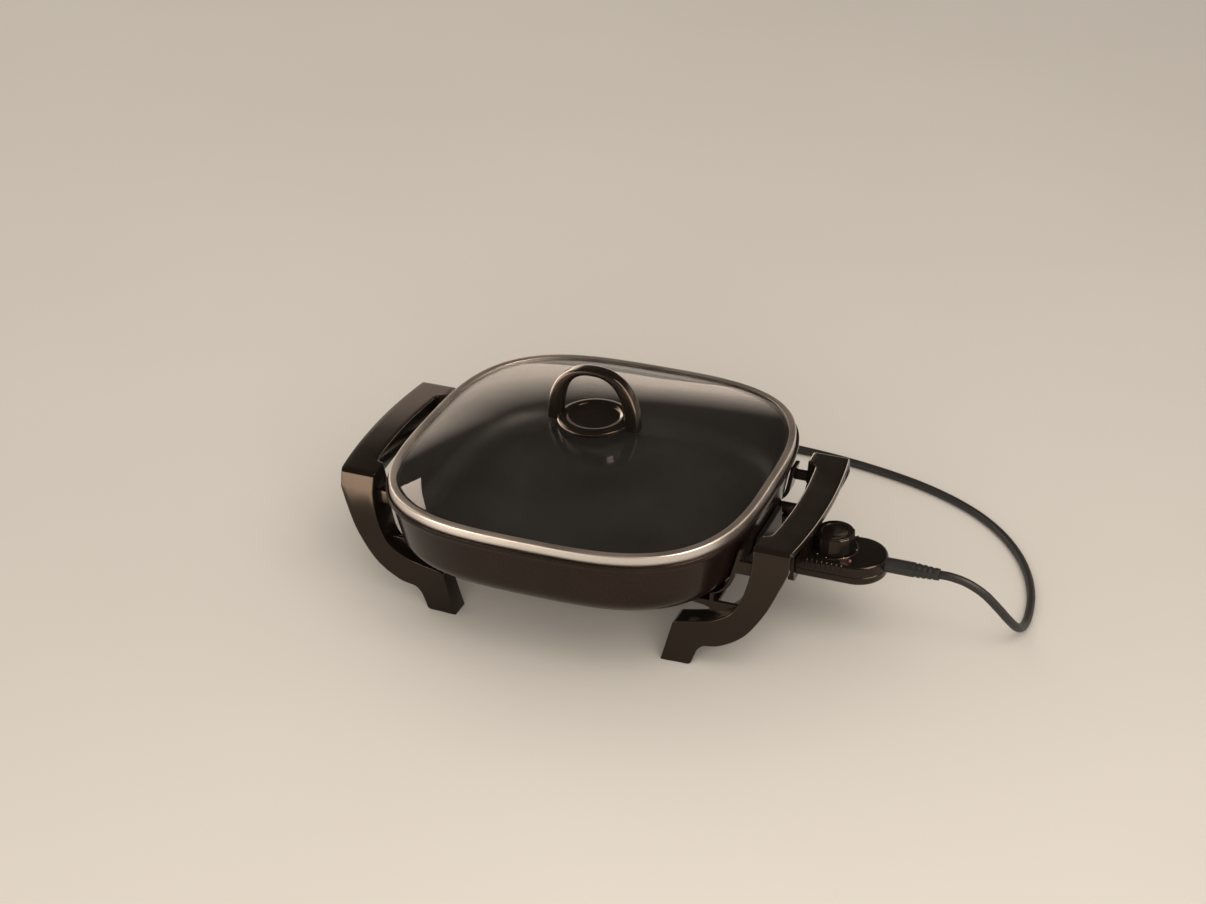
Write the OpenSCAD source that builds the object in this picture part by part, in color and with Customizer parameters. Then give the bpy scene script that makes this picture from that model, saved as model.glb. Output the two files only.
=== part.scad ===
// Square electric skillet with a glass lid, two strap handles that are also its legs,
// and a detachable plug-in heat control with its cord.
// Millimetres, +Z up. Origin: on the table, in the middle of the length from the left grip
// to the tip of the strain relief. +X is the side of the heat control, -Y is the front.
// The modules draw around the centre of the pan, and in_frame() brings them to the origin.

/* [Pan] */
// Width of the pan across its lip
pan_w = 305; // [295:1:315]
// Height of the lip above the table
lip_z = 117; // [114:1:122]
// Height of the pan's underside above the table
pan_bottom_z = 63; // [62:0.5:65]
// Thickness of the pan's wall and floor
pan_wall = 3; // [2:0.5:4]
// Radius where the wall turns into the floor
pan_corner_r = 20; // [16:1:24]
// Lean of the wall from upright, in degrees
wall_lean = 11; // [9:1:13]
// Squareness of the plan outline: 2 is round, more is squarer
squareness = 3.2; // [2.9:0.1:3.5]
// How far the lip stands out past the wall
lip_out = 2.4; // [2:0.2:3]
// Depth of the ledge inside the lip, on which the lid rests
ledge_drop = 1.8; // [1.4:0.2:2.4]

/* [Lid] */
// Height of the steel band
band_h = 9.5; // [8:0.5:12]
// Thickness of the band's sheet
band_t = 0.8; // [0.6:0.1:1]
// Thickness of the glass
glass_t = 4; // [3:0.5:4.5]
// Rise of the dome above the glass's margin
dome_rise = 25; // [18:1:32]
// Width of the glass's flat margin
glass_margin = 6; // [5:0.5:9]

/* [Knob] */
// Width of the knob's hoop at its feet
hoop_w = 78; // [70:1:84]
// Height of the hoop above the glass
hoop_h = 49; // [42:1:54]
// Thickness of the hoop at its feet
hoop_foot_t = 12; // [9:0.5:13]
// Thickness of the hoop at its crown
hoop_crown_t = 4.6; // [4:0.2:7]
// Depth of the hoop, front to back
hoop_d = 11.5; // [9:0.5:14]
// Diameter of the dished cap inside the hoop
cap_d = 60; // [57:1:64]

/* [Handles] */
// Reach of the grip's middle past the lip
grip_reach = 43.8; // [41:0.5:47]
// Width of the grip at its middle
grip_w = 25; // [23:0.5:27]
// Drop of the grip's top below the lip
grip_drop = 5; // [3:0.5:7]
// Distance across the legs at the table, front to rear
leg_span = 180; // [174:1:186]
// Thickness of the strap's plate
strap_t = 3.5; // [3:0.1:4.5]
// Thickness of the strap's flanges
flange_t = 3; // [2.4:0.1:3.6]
// Depth of the flange on the pan's side, under the grip and at the foot
flange_depth = 18; // [15:1:20]
// Depth of the lip on the outer side
outer_lip_depth = 6; // [4.5:0.5:8]
// Length of the finger recess in the grip
recess_len = 116; // [104:1:122]
// Radius of the grip's bend into the leg
bend_r = 5; // [4:0.5:7]
// Width of the foot
foot_w = 26; // [24:1:29]
// Distance of the brace plates behind the strap's face
web_inset = 8; // [7:0.5:10]
// Thickness of the brace plates
web_t = 3; // [2.4:0.2:4]
// Thickness of the rail against the pan's wall
rail_t = 3.6; // [3:0.2:4]
// Depth of the rail, front to back
rail_depth = 14; // [11:1:16]
// Thickness of the tab that is screwed on under the pan
tab_t = 4; // [3:0.5:5]

/* [Fasteners] */
// Height of the studs under the pan
stud_h = 5; // [4:0.5:6]
// Diameter of the studs
stud_d = 12; // [10:0.5:13]
// Diameter of the screws' shanks
screw_d = 4; // [3:0.5:5]
// Diameter of the screws' heads
screw_head_d = 8; // [7:0.5:9]

/* [Heater] */
// Diameter of the tubular element
element_d = 6.4; // [5.6:0.2:6.8]
// Distance from the pan's lip in to the element's loop
element_inset = 68.5; // [60:0.5:74]
// Radius of the loop's corners
element_corner_r = 34; // [26:1:42]
// Distance between the two terminal pins
pin_pitch = 23; // [21:0.5:25]
// Diameter of the terminal pins
pin_d = 4; // [3.4:0.2:4.4]
// Free length of the terminal pins
pin_len = 20; // [17:0.5:21]
// Outer diameter of the probe's sleeve
sleeve_d = 6.8; // [6.4:0.1:7.2]
// Wall of the probe's sleeve
sleeve_wall = 0.55; // [0.4:0.05:0.7]

/* [Terminal guard] */
// Width of the guard
guard_w = 52; // [49:1:56]
// Height of the guard's top above the pan's underside
guard_rise = 24; // [20:1:26]
// Sheet thickness of the guard
guard_t = 1.6; // [1:0.2:2]

/* [Heat control] */
// Width of the control's body
control_w = 48; // [45:1:52]
// Length of the control's body
control_len = 68; // [64:1:76]
// Height of the control's body
control_h = 16.5; // [15:0.5:19]
// Wall of the control's shells
control_wall = 2; // [1.6:0.2:2.4]
// Radius of the cover's upper edge
cover_edge_r = 3; // [2:0.5:4]
// Thickness of the finger flange
finger_flange_t = 5; // [4:0.5:6]
// Width of the nose that goes over the pins
nose_w = 36; // [34:0.5:38]
// Height of the nose
nose_h = 12; // [11:0.5:12]
// Diameter of the temperature probe
probe_d = 5; // [4.6:0.1:5]
// Number of grip ribs on each side
rib_count = 8; // [5:1:9]
// Distance from one grip rib to the next
rib_pitch = 4; // [3:0.5:4.5]

/* [Dial] */
// Diameter of the dial
dial_d = 32; // [28:1:34]
// Height of the dial
dial_h = 15.6; // [12:0.5:18]
// Number of flutes
flute_count = 24; // [16:2:32]
// Diameter of the dial's shaft
shaft_d = 6; // [5:0.5:7]

/* [Cord] */
// Diameter of the cord
cord_d = 7; // [6.6:0.2:7.2]
// Length of the strain relief outside the control
relief_len = 42; // [30:1:48]
// Diameter of the strain relief at the control
relief_d = 12; // [10.5:0.5:12.5]

/* [Hidden] */
$fn = 64;

// Distances in from the lip to what lies under the pan, along X
handle_stud_inset = 50;
guard_stud_inset = 44;
guard_tab_inset = 54;
tab_inner_inset = 60;
tab_outer_inset = 20;
foot_inset = 64;
element_end_inset = 24.5;
sleeve_inset = 100;
guard_inset = 2.5;

// Clearances
seat_gap = 0.3;         // between pieces that rest on each other or slide
fit_gap = 0.06;         // a shaft in its bore, on the radius
thread_gap = 0.05;      // a screw in its threaded hole, on the radius
pan_gap = 0.5;          // between the handles and the pan's wall
deep = 400;             // longer than any cut has to be

// Pan
pan_half = pan_w / 2;
ring_sides = 64;
corner_crowding = 3.4;  // degrees by which the sides of a ring crowd into its corners
lip_t = 2;
lip_round = 0.6;
ledge_z = lip_z - ledge_drop;
lip_under_z = ledge_z - lip_t;
wall_top_half = pan_half - lip_out;
lip_inner_half = pan_half - 1.5;
corner_z = pan_bottom_z + pan_corner_r;
floor_half = wall_top_half - (lip_under_z - corner_z + pan_corner_r * sin(wall_lean)) * tan(wall_lean)
    - pan_corner_r * cos(wall_lean);
floor_z = pan_bottom_z + pan_wall;

// Lid
band_half = lip_inner_half - 0.8;
band_z = ledge_z + seat_gap;
band_top = band_z + band_h;
band_lip = 5.5;
glass_half = band_half - band_t - seat_gap;
glass_top = band_top - band_t - seat_gap;
margin_half = glass_half - glass_margin;
dome_power = 2.1;
apex_z = glass_top + dome_rise;
knob_hole_r = 3.5;

// Knob
gasket_t = 1;
gasket_z = apex_z - glass_t - gasket_t - seat_gap;
saddle_z = apex_z + seat_gap;
saddle_t = 2.4;
saddle_r = 27;
cap_z = saddle_z + saddle_t;
cap_t = 5;
cap_boss_r = 7;
hoop_power = 2.4;
washer_t = 1.2;

// Handles
grip_z = lip_z - grip_drop;
grip_x = pan_half + grip_reach;
grip_arc_r = 488;
recess_arc_r = 448;
grip_gap = 7.5;
strap_inner_x = pan_half + grip_gap;

// The legs' outer side, seen from the side: [height above the table, distance from the middle]
leg_toe_in = 1.6;
leg_line = [
    [0, leg_span / 2], [lip_z - 58, leg_span / 2 - leg_toe_in], [lip_z - 45, leg_span / 2 - 3],
    [lip_z - 36, leg_span / 2 - 4.5], [lip_z - 22, leg_span / 2 - 7.5]
];
// The bend starts where the line from the leg's top, at this lean, meets its arc
bend_lean = 14;
leg_top = leg_line[4];
bend_end_z = grip_z - bend_r * (1 - sin(bend_lean));
bend_y = leg_top[1] - (bend_end_z - leg_top[0]) * tan(bend_lean) - bend_r * cos(bend_lean);
// The flange on the pan's side is deepest under the bend
flange_rear_y = recess_len / 2 + 0.5;
flange_rear_z = lip_z - 35;
flange_shin_z = 40;

// The strap seen from the front: [distance outwards from the lip, height above the lip]
strap_outer = [
    [40, 10], [39.5, -10], [37, -20.5], [31, -35], [20.5, -58], [4.5, -81], [-14.5, -94],
    [-28.5, -97.5], [-34, -103]
];
strap_inner = [
    [7.5, 10], [7.5, -12], [7.7, -21], [5.5, -34.5], [1, -49], [-6.5, -62], [-20.5, -71],
    [-34.5, -75], [-53.5, -79]
];
foot_inner_x = pan_half - foot_inset;
foot_corner_r = 4;

tab_z = pan_bottom_z - stud_h - tab_t;
tab_inner_x = pan_half - tab_inner_inset;
tab_outer_x = pan_half - tab_outer_inset;
brace_h = 10.5;
brace_drop = 22;
brace_top = lip_z - brace_drop;
rail_drop = 13;
rail_top = lip_z - rail_drop;

// Fasteners
leg_to_stud = 23;
stud_to_tab_end = 9;
handle_stud_x = pan_half - handle_stud_inset;
handle_stud_y = leg_span / 2 - leg_to_stud;
tab_inner_y = handle_stud_y - stud_to_tab_end;
guard_ear_w = 7;
guard_stud_x = pan_half - guard_stud_inset;
guard_stud_y = guard_w / 2 + guard_ear_w;
head_t = 2.6;
stud_floor = 0.8;

// Heater, pins and probe lie in one plane under the pan
heater_z = pan_bottom_z - element_d / 2 - 0.3;
lead_bend_r = 12;
element_half = pan_half - element_inset;
element_end_x = pan_half - element_end_inset;
pin_y = pin_pitch / 2;
pin_tip_x = element_end_x + pin_len;
bead_len = 4;
sleeve_x = pan_half - sleeve_inset;
sleeve_end_x = element_end_x + 2;

// Terminal guard
guard_x = pan_half - guard_inset;
guard_top = pan_bottom_z + guard_rise;
guard_bottom = heater_z - 4.5;
guard_tab_x = pan_half - guard_tab_inset;

// Heat control
nose_x = element_end_x + 6;
flange_x = pan_half + 19.5;
body_x = flange_x + finger_flange_t;
body_end_r = control_w / 2;
body_round_x = body_x + control_len - body_end_r;
body_end_x = body_x + control_len;
nose_bottom = heater_z - nose_h / 2;
body_z = nose_bottom + 5;
body_top = body_z + control_h;
split_z = body_z + 7;
pin_bore_r = pin_d / 2 + 1.45;
contact_wall = 1;
contact_gap = 0.35;
contact_len = 14;
contact_tail_r = 1.5;
probe_tip_x = sleeve_x + 6;
control_screw_x = [body_x + 7, body_round_x + 15];
control_screw_y = [body_end_r - 6, 8];
boss_r = 3.4;
small_screw_r = 1.2;

// Thermostat inside the control
frame_w = 15;
frame_t = 1.2;
frame_z = body_z + control_wall + seat_gap;
frame_x = body_x + 0.1;
frame_len = 45;
window_w = 30;
strap_len = 9;
strap_w = 3;
strap_metal_t = 0.8;
stack_x = frame_x + 8;
stack_len = 7;
stack_h = 7.2;
blade_t = 0.5;
blade_w = 4;
blade_len = 30;

// Dial
dial_x = body_x + 25;
dial_z = body_top + seat_gap;
flute_depth = 0.5;
flute_steps = 6;
dial_rim_w = 1.6;
dial_rim_h = 0.9;
shaft_bottom = frame_z + frame_t + stack_h + 1.1;
shaft_socket = 9;
bezel_r = dial_d / 2 + 2;
bezel_w = 1.6;
bezel_h = 1;
lens_r = 2.2;
lens_pos = [dial_x + 16.5, -16];

// Cord
cord_r = cord_d / 2;
relief_drop = 6.6;
relief_z = body_top - relief_drop;
relief_tip_d = cord_d + 2.4;
relief_groove = 0.6;
relief_grooves = 4;
relief_tip_x = body_end_x + relief_len;
cord_sides = 8;
coil_centre = [-40, 218];
coil_r = 38.5;
coil_base = 0.9;
coil_layers = 2;
tie_t = 0.8;
tie_angle = 14;
plug_x = 14;
plug_y = coil_centre[1] - coil_r;
plug_len = 30;
plug_w = 25;
plug_t = 18;
blade_gap = 12.7;
blade_reach = 16;

// Route of the cord from the strain relief to the coil, chosen by hand
cord_route = [
    [relief_tip_x, 0, relief_z], [296, 0, relief_z], [309, 1, 65], [322, 4, 56],
    [332, 9, 43], [340, 17, 28], [345, 28, 15], [347, 43, 6.5], [347, 62, 4], [343, 90, 4],
    [334, 119, 4], [320, 147, 4], [301, 173, 4], [277, 196, 4], [248, 215, 4],
    [215, 230, 4], [179, 241, 4], [141, 249, 4], [102, 254, 4], [62, 256, 4],
    [20, 256.5, 4.2], [-24, 256.5, 4.4]
];
tail_route = [[-24, 179.5, 11.5], [-12, 179.5, 11], [0, 179.5, 9.4], [8, 179.5, 9], [14, 179.5, 9]];

// Middle of the length, without the cord, from the centre of the pan
middle_x = (relief_tip_x - grip_x) / 2;

// ---------------------------------------------------------------- helpers

// A profile in the Y-Z plane drawn out along X, and one in the X-Z plane drawn out along Y
module along_x(x0, x1) {
    translate([x0, 0, 0]) rotate([90, 0, 90]) linear_extrude(x1 - x0) children();
}
module along_y(y0, y1) {
    translate([0, y1, 0]) rotate([90, 0, 0]) linear_extrude(y1 - y0) children();
}
module along_z(z0, z1) {
    translate([0, 0, z0]) linear_extrude(z1 - z0) children();
}
module rod_x(x0, x1, r) {
    translate([x0, 0, 0]) rotate([0, 90, 0]) cylinder(h = x1 - x0, r = r);
}
module both_sides(y) {
    for (side = [-1, 1]) translate([0, side * y, 0]) children();
}
module four_corners(x, y) {
    for (sx = [-1, 1], sy = [-1, 1]) translate([sx * x, sy * y, 0]) children();
}

function arc(centre, r, from, to, steps) = [
    for (i = [0:steps]) let (a = from + (to - from) * i / steps)
        [centre[0] + r * cos(a), centre[1] + r * sin(a)]
];
function spline_point(p, q, r, s, t) =
    (2 * q + (r - p) * t + (2 * p - 5 * q + 4 * r - s) * t * t + (3 * q - p - 3 * r + s) * t * t * t) / 2;
function spline(p, steps) = concat(
    [for (i = [0:len(p) - 2], k = [0:steps - 1])
        spline_point(p[max(i - 1, 0)], p[i], p[i + 1], p[min(i + 2, len(p) - 1)], k / steps)],
    [p[len(p) - 1]]
);
function reversed(p) = [for (i = [len(p) - 1:-1:0]) p[i]];

// One corner of a ring: the superellipse of the given half-width at angle a
function ring_reach(half, power, a) =
    half / pow(pow(abs(cos(a)), power) + pow(abs(sin(a)), power), 1 / power);
function ring_angle(i) = let (a = 360 * i / ring_sides) a + corner_crowding * sin(4 * a);
function ring_point(half, power, z, i) =
    let (a = ring_angle(i), r = ring_reach(half, power, a)) [r * cos(a), r * sin(a), z];
function ring_faces(from, to, n) = [
    for (i = [0:n - 1]) let (j = (i + 1) % n)
        each [[from + i, to + i, to + j], [from + i, to + j, from + j]]
];

// A body whose level sections are superellipses: [half-width, height, power], base to top
module capped_loft(sections) {
    n = ring_sides;
    last = len(sections) - 1;
    polyhedron(
        points = [for (s = sections, i = [0:n - 1]) ring_point(s[0], s[2], s[1], i)],
        faces = concat(
            [[for (i = [0:n - 1]) i]],
            [for (k = [0:last - 1]) each ring_faces(k * n, (k + 1) * n, n)],
            [[for (i = [n - 1:-1:0]) last * n + i]]
        )
    );
}
// The same for a section that closes on itself, such as a channel
module closed_loft(sections) {
    n = ring_sides;
    count = len(sections);
    polyhedron(
        points = [for (s = sections, i = [0:n - 1]) ring_point(s[0], s[2], s[1], i)],
        faces = [for (k = [0:count - 1]) each ring_faces(k * n, ((k + 1) % count) * n, n)]
    );
}

// Half-width of the pan's outside at a height, and how far out its wall is off the middle
function pan_reach(z) = z < corner_z - pan_corner_r * sin(wall_lean)
    ? floor_half + sqrt(max(0, pow(pan_corner_r, 2) - pow(corner_z - z, 2)))
    : wall_top_half - (lip_under_z - z) * tan(wall_lean);
function pan_side_x(z, y) = let (h = pan_reach(z))
    h * pow(1 - pow(min(abs(y), h - 1) / h, squareness), 1 / squareness);

// A tube swept along a line of points
function unit(v) = v / norm(v);
function heading(p, i) = unit(p[min(i + 1, len(p) - 1)] - p[max(i - 1, 0)]);
function tube_ring(p, i, r, n) = let (
    t = heading(p, i),
    side = unit(cross([0, 0, 1], t)),
    up = cross(t, side)
) [for (k = [0:n - 1]) p[i] + r * (cos(360 * k / n) * side + sin(360 * k / n) * up)];
module tube(p, r, n) {
    last = len(p) - 1;
    polyhedron(
        points = [for (i = [0:last]) each tube_ring(p, i, r, n)],
        faces = concat(
            [[for (k = [n - 1:-1:0]) k]],
            [for (i = [0:last - 1]) each ring_faces((i + 1) * n, i * n, n)],
            [[for (k = [0:n - 1]) last * n + k]]
        )
    );
}

// ---------------------------------------------------------------- pan

function pan_outside() = concat(
    arc([floor_half, corner_z], pan_corner_r, -90, -wall_lean, 5),
    [[wall_top_half, lip_under_z], [pan_half - lip_round, lip_under_z],
     [pan_half, lip_under_z + lip_round], [pan_half, lip_z - lip_round],
     [pan_half - lip_round, lip_z]]
);
function pan_inside() = concat(
    [[lip_inner_half, lip_z], [lip_inner_half, ledge_z], [wall_top_half - pan_wall, ledge_z]],
    arc([floor_half, corner_z], pan_corner_r - pan_wall, -wall_lean, -90, 5)
);
module pan() color("#2b201c")
    capped_loft([for (p = concat(pan_outside(), pan_inside())) [p[0], p[1], squareness]]);

// ---------------------------------------------------------------- heater

module quarter_bend(r, d) {
    rotate_extrude(angle = 90) translate([r, 0]) circle(d = d);
}
module element_side(r) {
    straight = element_half - element_corner_r;
    // side rail, corner, and the half of the rail that ends at the terminals
    translate([-straight, -element_half, 0]) rod_x(0, 2 * straight, r);
    for (sx = [0, 1])
        mirror([sx, 0, 0]) translate([straight, -straight, 0]) rotate(-90)
            quarter_bend(element_corner_r, element_d);
    translate([-element_half, 0, 0]) rotate([90, 0, 0]) cylinder(h = straight, r = r);
    translate([element_half, -pin_y - lead_bend_r, 0]) rotate([90, 0, 0])
        cylinder(h = straight - pin_y - lead_bend_r, r = r);
    translate([element_half + lead_bend_r, -pin_y - lead_bend_r, 0]) rotate(90)
        quarter_bend(lead_bend_r, element_d);
    translate([element_half + lead_bend_r, -pin_y, 0])
        rod_x(0, element_end_x - element_half - lead_bend_r, r);
}
module heating_element() color("#6b6a68") translate([0, 0, heater_z]) {
    element_side(element_d / 2);
    mirror([0, 1, 0]) element_side(element_d / 2);
}
module terminal_pins() color("#c9b27a") translate([0, 0, heater_z]) both_sides(pin_y) {
    rod_x(element_end_x, pin_tip_x - 1, pin_d / 2);
    translate([pin_tip_x - 1, 0, 0]) rotate([0, 90, 0])
        cylinder(h = 1, r1 = pin_d / 2, r2 = pin_d / 2 - 0.8);
}
module terminal_insulators() color("#efeae0") translate([0, 0, heater_z]) both_sides(pin_y)
    difference() {
        rod_x(element_end_x + thread_gap, element_end_x + bead_len, element_d / 2 - 0.2);
        rod_x(0, deep, pin_d / 2 + thread_gap);
    }
module probe_sleeve() color("#8d8b88") translate([0, 0, heater_z]) difference() {
    rod_x(sleeve_x, sleeve_end_x, sleeve_d / 2);
    rod_x(sleeve_x + 2, deep, sleeve_d / 2 - sleeve_wall);
}

// ---------------------------------------------------------------- fasteners

module stud() {
    translate([0, 0, pan_bottom_z - stud_h]) difference() {
        cylinder(h = stud_h, d = stud_d);
        translate([0, 0, -1]) cylinder(h = stud_h + 1 - stud_floor, d = screw_d + 2 * thread_gap);
    }
}
// A pan-head screw that stands on its head, from the head's bearing face up
module screw_up(face_z, length) {
    translate([0, 0, face_z - head_t]) difference() {
        cylinder(h = head_t, d1 = screw_head_d - 1.6, d2 = screw_head_d);
        translate([0, 0, -1]) cylinder(h = 1 + head_t / 2, d = screw_head_d / 2.4, $fn = 6);
    }
    translate([0, 0, face_z - 0.1]) cylinder(h = length + 0.1, d = screw_d);
}
module pan_studs() color("#9a9894") {
    four_corners(handle_stud_x, handle_stud_y) stud();
    both_sides(guard_stud_y) translate([guard_stud_x, 0, 0]) stud();
}
module handle_screws() color("#b8b8b8")
    four_corners(handle_stud_x, handle_stud_y) screw_up(tab_z, tab_t + stud_h - stud_floor - 0.4);
module guard_screws() color("#b8b8b8")
    both_sides(guard_stud_y) translate([guard_stud_x, 0, 0])
        screw_up(pan_bottom_z - stud_h - guard_t, guard_t + stud_h - stud_floor - 0.4);

// ---------------------------------------------------------------- terminal guard

guard_ear_z = pan_bottom_z - stud_h - guard_t;

// Side of the guard, seen from the front, fitted under and against the pan
module guard_side_profile() {
    polygon(concat(
        [[guard_x, guard_bottom], [guard_x, guard_top], [pan_reach(guard_top) + pan_gap, guard_top]],
        arc([floor_half, corner_z], pan_corner_r + pan_gap, -wall_lean, -90, 10),
        [[guard_tab_x, pan_bottom_z - pan_gap], [guard_tab_x, guard_bottom]]
    ));
}
module terminal_guard() color("#1b1b1c") difference() {
    half = guard_w / 2;
    union() {
        both_sides(half - guard_t / 2)
            along_y(-guard_t / 2, guard_t / 2) guard_side_profile();
        intersection() {
            along_y(-half, half) guard_side_profile();
            union() {
                translate([guard_x - guard_t, -half, 0]) cube([guard_t, guard_w, lip_z]);
                translate([0, -half, guard_top - guard_t]) cube([deep, guard_w, guard_t]);
            }
        }
        for (side = [0, 1]) mirror([0, side, 0])
            translate([guard_tab_x, half - guard_t, guard_ear_z])
                cube([2 * (guard_stud_x - guard_tab_x), guard_ear_w + stud_d / 2 + guard_t, guard_t]);
    }
    // notch for the control's nose
    translate([guard_x - 3 * guard_t, -nose_w / 2 - 1, 0])
        cube([deep, nose_w + 2, nose_bottom + nose_h + 1]);
    both_sides(guard_stud_y) translate([guard_stud_x, 0, 0])
        cylinder(h = lip_z, d = screw_d + 1);
}

// ---------------------------------------------------------------- handles

// Side view of the two legs and the grip, from a given level up, at or below the table
module leg_arch_profile(base) {
    half = concat(
        [[leg_line[0][1] - base * leg_toe_in / leg_line[1][0], base]],
        [for (p = leg_line) if (p[0] > 0) [p[1], p[0]]],
        arc([bend_y, grip_z - bend_r], bend_r, bend_lean, 90, 6)
    );
    polygon(concat(half, [for (p = reversed(half)) [-p[0], p[1]]]));
}
// Shell of that arch, starting at an inset behind its face
module leg_arch_shell(inset, depth) {
    intersection() {
        difference() {
            offset(delta = -inset) leg_arch_profile(-60);
            offset(delta = -inset - depth) leg_arch_profile(-60);
        }
        translate([-leg_span, 0]) square([2 * leg_span, lip_z]);
    }
}
// Side view of the flange on the pan's side
module flange_side_profile() {
    foot_y = leg_span / 2 - flange_depth;
    rear = [[foot_y, -1], [foot_y - 1, flange_shin_z], [flange_rear_y, flange_rear_z],
        [flange_rear_y, grip_z - flange_depth]];
    difference() {
        leg_arch_profile(0);
        polygon(concat(rear, [for (p = reversed(rear)) [-p[0], p[1]]]));
    }
}
function from_lip(p) = [pan_half + p[0], lip_z + p[1]];
function strap_outer_line() = spline([for (p = strap_outer) from_lip(p)], 3);
function strap_inner_line() = spline([for (p = strap_inner) from_lip(p)], 3);

module strap_profile() {
    translate([strap_inner_x, grip_z - outer_lip_depth - 1])
        square([grip_x + 1 - strap_inner_x, outer_lip_depth + 2]);
    polygon(concat(
        strap_outer_line(),
        arc([foot_inner_x + foot_w - foot_corner_r, foot_corner_r], foot_corner_r, 0, -90, 4),
        [[foot_inner_x, 0]],
        reversed(strap_inner_line())
    ));
}
// All that lies outwards of the strap's inner edge, and all that lies inwards of its outer edge
module outward_of_strap() {
    polygon(concat(strap_inner_line(), [[foot_inner_x - 1, -20], [deep, -20], [deep, lip_z + 10]]));
}
module inward_of_strap() {
    polygon(concat(strap_outer_line(), [[foot_inner_x + foot_w, 0], [foot_inner_x + foot_w, -20],
        [0, -20], [0, lip_z + 10]]));
}
module strap_inner_strip() {
    difference() {
        strap_profile();
        offset(delta = -flange_t) outward_of_strap();
    }
}
module strap_outer_strip() {
    difference() {
        intersection() {
            strap_profile();
            inward_of_strap();
        }
        offset(delta = -flange_t) inward_of_strap();
    }
}
// Plan view: the bowed outer edge of the grip and the finger recess
module grip_disc(inset) {
    translate([grip_x - grip_arc_r, 0]) circle(r = grip_arc_r - inset, $fn = 720);
}
module recess_plan(grow) {
    intersection() {
        translate([grip_x - grip_w - recess_arc_r, 0]) circle(r = recess_arc_r + grow, $fn = 720);
        translate([0, -recess_len / 2 - grow]) square([deep, recess_len + 2 * grow]);
    }
}
module strap() {
    reach = leg_span / 2 + 2;
    intersection() {
        union() {
            intersection() {
                along_x(0, deep) leg_arch_shell(0, strap_t);
                along_y(-reach, reach) strap_profile();
            }
            intersection() {
                along_x(0, deep) flange_side_profile();
                union() {
                    along_y(-reach, reach) strap_inner_strip();
                    intersection() {
                        along_z(grip_z - 2 * flange_depth, lip_z) difference() {
                            recess_plan(flange_t);
                            translate([0, -deep]) square([strap_inner_x, 2 * deep]);
                        }
                        along_y(-reach, reach) strap_profile();
                    }
                }
            }
            intersection() {
                along_x(0, deep) leg_arch_shell(0, outer_lip_depth);
                union() {
                    along_y(-reach, reach) strap_outer_strip();
                    along_z(grip_z - outer_lip_depth - 2, lip_z) difference() {
                        grip_disc(0);
                        grip_disc(flange_t);
                    }
                }
                along_y(-reach, reach) strap_profile();
            }
        }
        along_z(-1, lip_z + 1) grip_disc(0);
    }
}
function web_back_y(z) = lookup(z, leg_line) - web_inset - rail_depth;
function rail_x(z) = let (seat = max(z, pan_bottom_z + 1)) pan_side_x(seat, web_back_y(seat));

module rail_profile() {
    corner_line = [for (p = arc([0, corner_z], pan_corner_r, -75, -wall_lean, 8)) p[1]];
    seat_line = [for (z = concat([pan_bottom_z], corner_line, [rail_top])) [rail_x(z) + pan_gap, z]];
    polygon(concat(
        [[rail_x(pan_bottom_z) + pan_gap, tab_z + tab_t - brace_h]],
        seat_line,
        [for (p = reversed(seat_line)) p + [rail_t, 0]],
        [[rail_x(pan_bottom_z) + pan_gap + rail_t, tab_z + tab_t - brace_h]]
    ));
}
module brace_profile() {
    rail_profile();
    // upper arm
    translate([rail_x(brace_top) + 1, brace_top - brace_h])
        square([strap_inner_x + flange_t - rail_x(brace_top) - 1, brace_h]);
    // lower arm, tapering inwards under the tab
    polygon([
        [tab_inner_x + 6, tab_z], [tab_outer_x - 4, tab_z + tab_t - brace_h],
        [pan_half - 4, tab_z + tab_t - brace_h], [pan_half - 1, tab_z + tab_t],
        [tab_inner_x + 6, tab_z + tab_t]
    ]);
}
module handle_brace() {
    intersection() {
        along_x(0, deep) leg_arch_shell(web_inset, web_t);
        along_y(-leg_span, leg_span) brace_profile();
    }
    intersection() {
        along_x(0, deep) leg_arch_shell(web_inset, rail_depth);
        along_y(-leg_span, leg_span) rail_profile();
    }
}
module handle_tab() {
    back_y = web_back_y(tab_z) + rail_depth;
    translate([tab_inner_x, tab_inner_y, tab_z])
        cube([tab_outer_x - tab_inner_x, back_y - tab_inner_y - 1, tab_t]);
}
module handle() {
    difference() {
        union() {
            strap();
            handle_brace();
            handle_tab();
            mirror([0, 1, 0]) handle_tab();
        }
        along_z(grip_z - 2 * flange_depth, lip_z + 1) recess_plan(0);
        both_sides(handle_stud_y) translate([handle_stud_x, 0, 0])
            cylinder(h = lip_z, d = screw_d + 1);
    }
}
module handle_right() color("#17120f") handle();
module handle_left() color("#17120f") mirror([1, 0, 0]) handle();

// ---------------------------------------------------------------- lid

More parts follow.
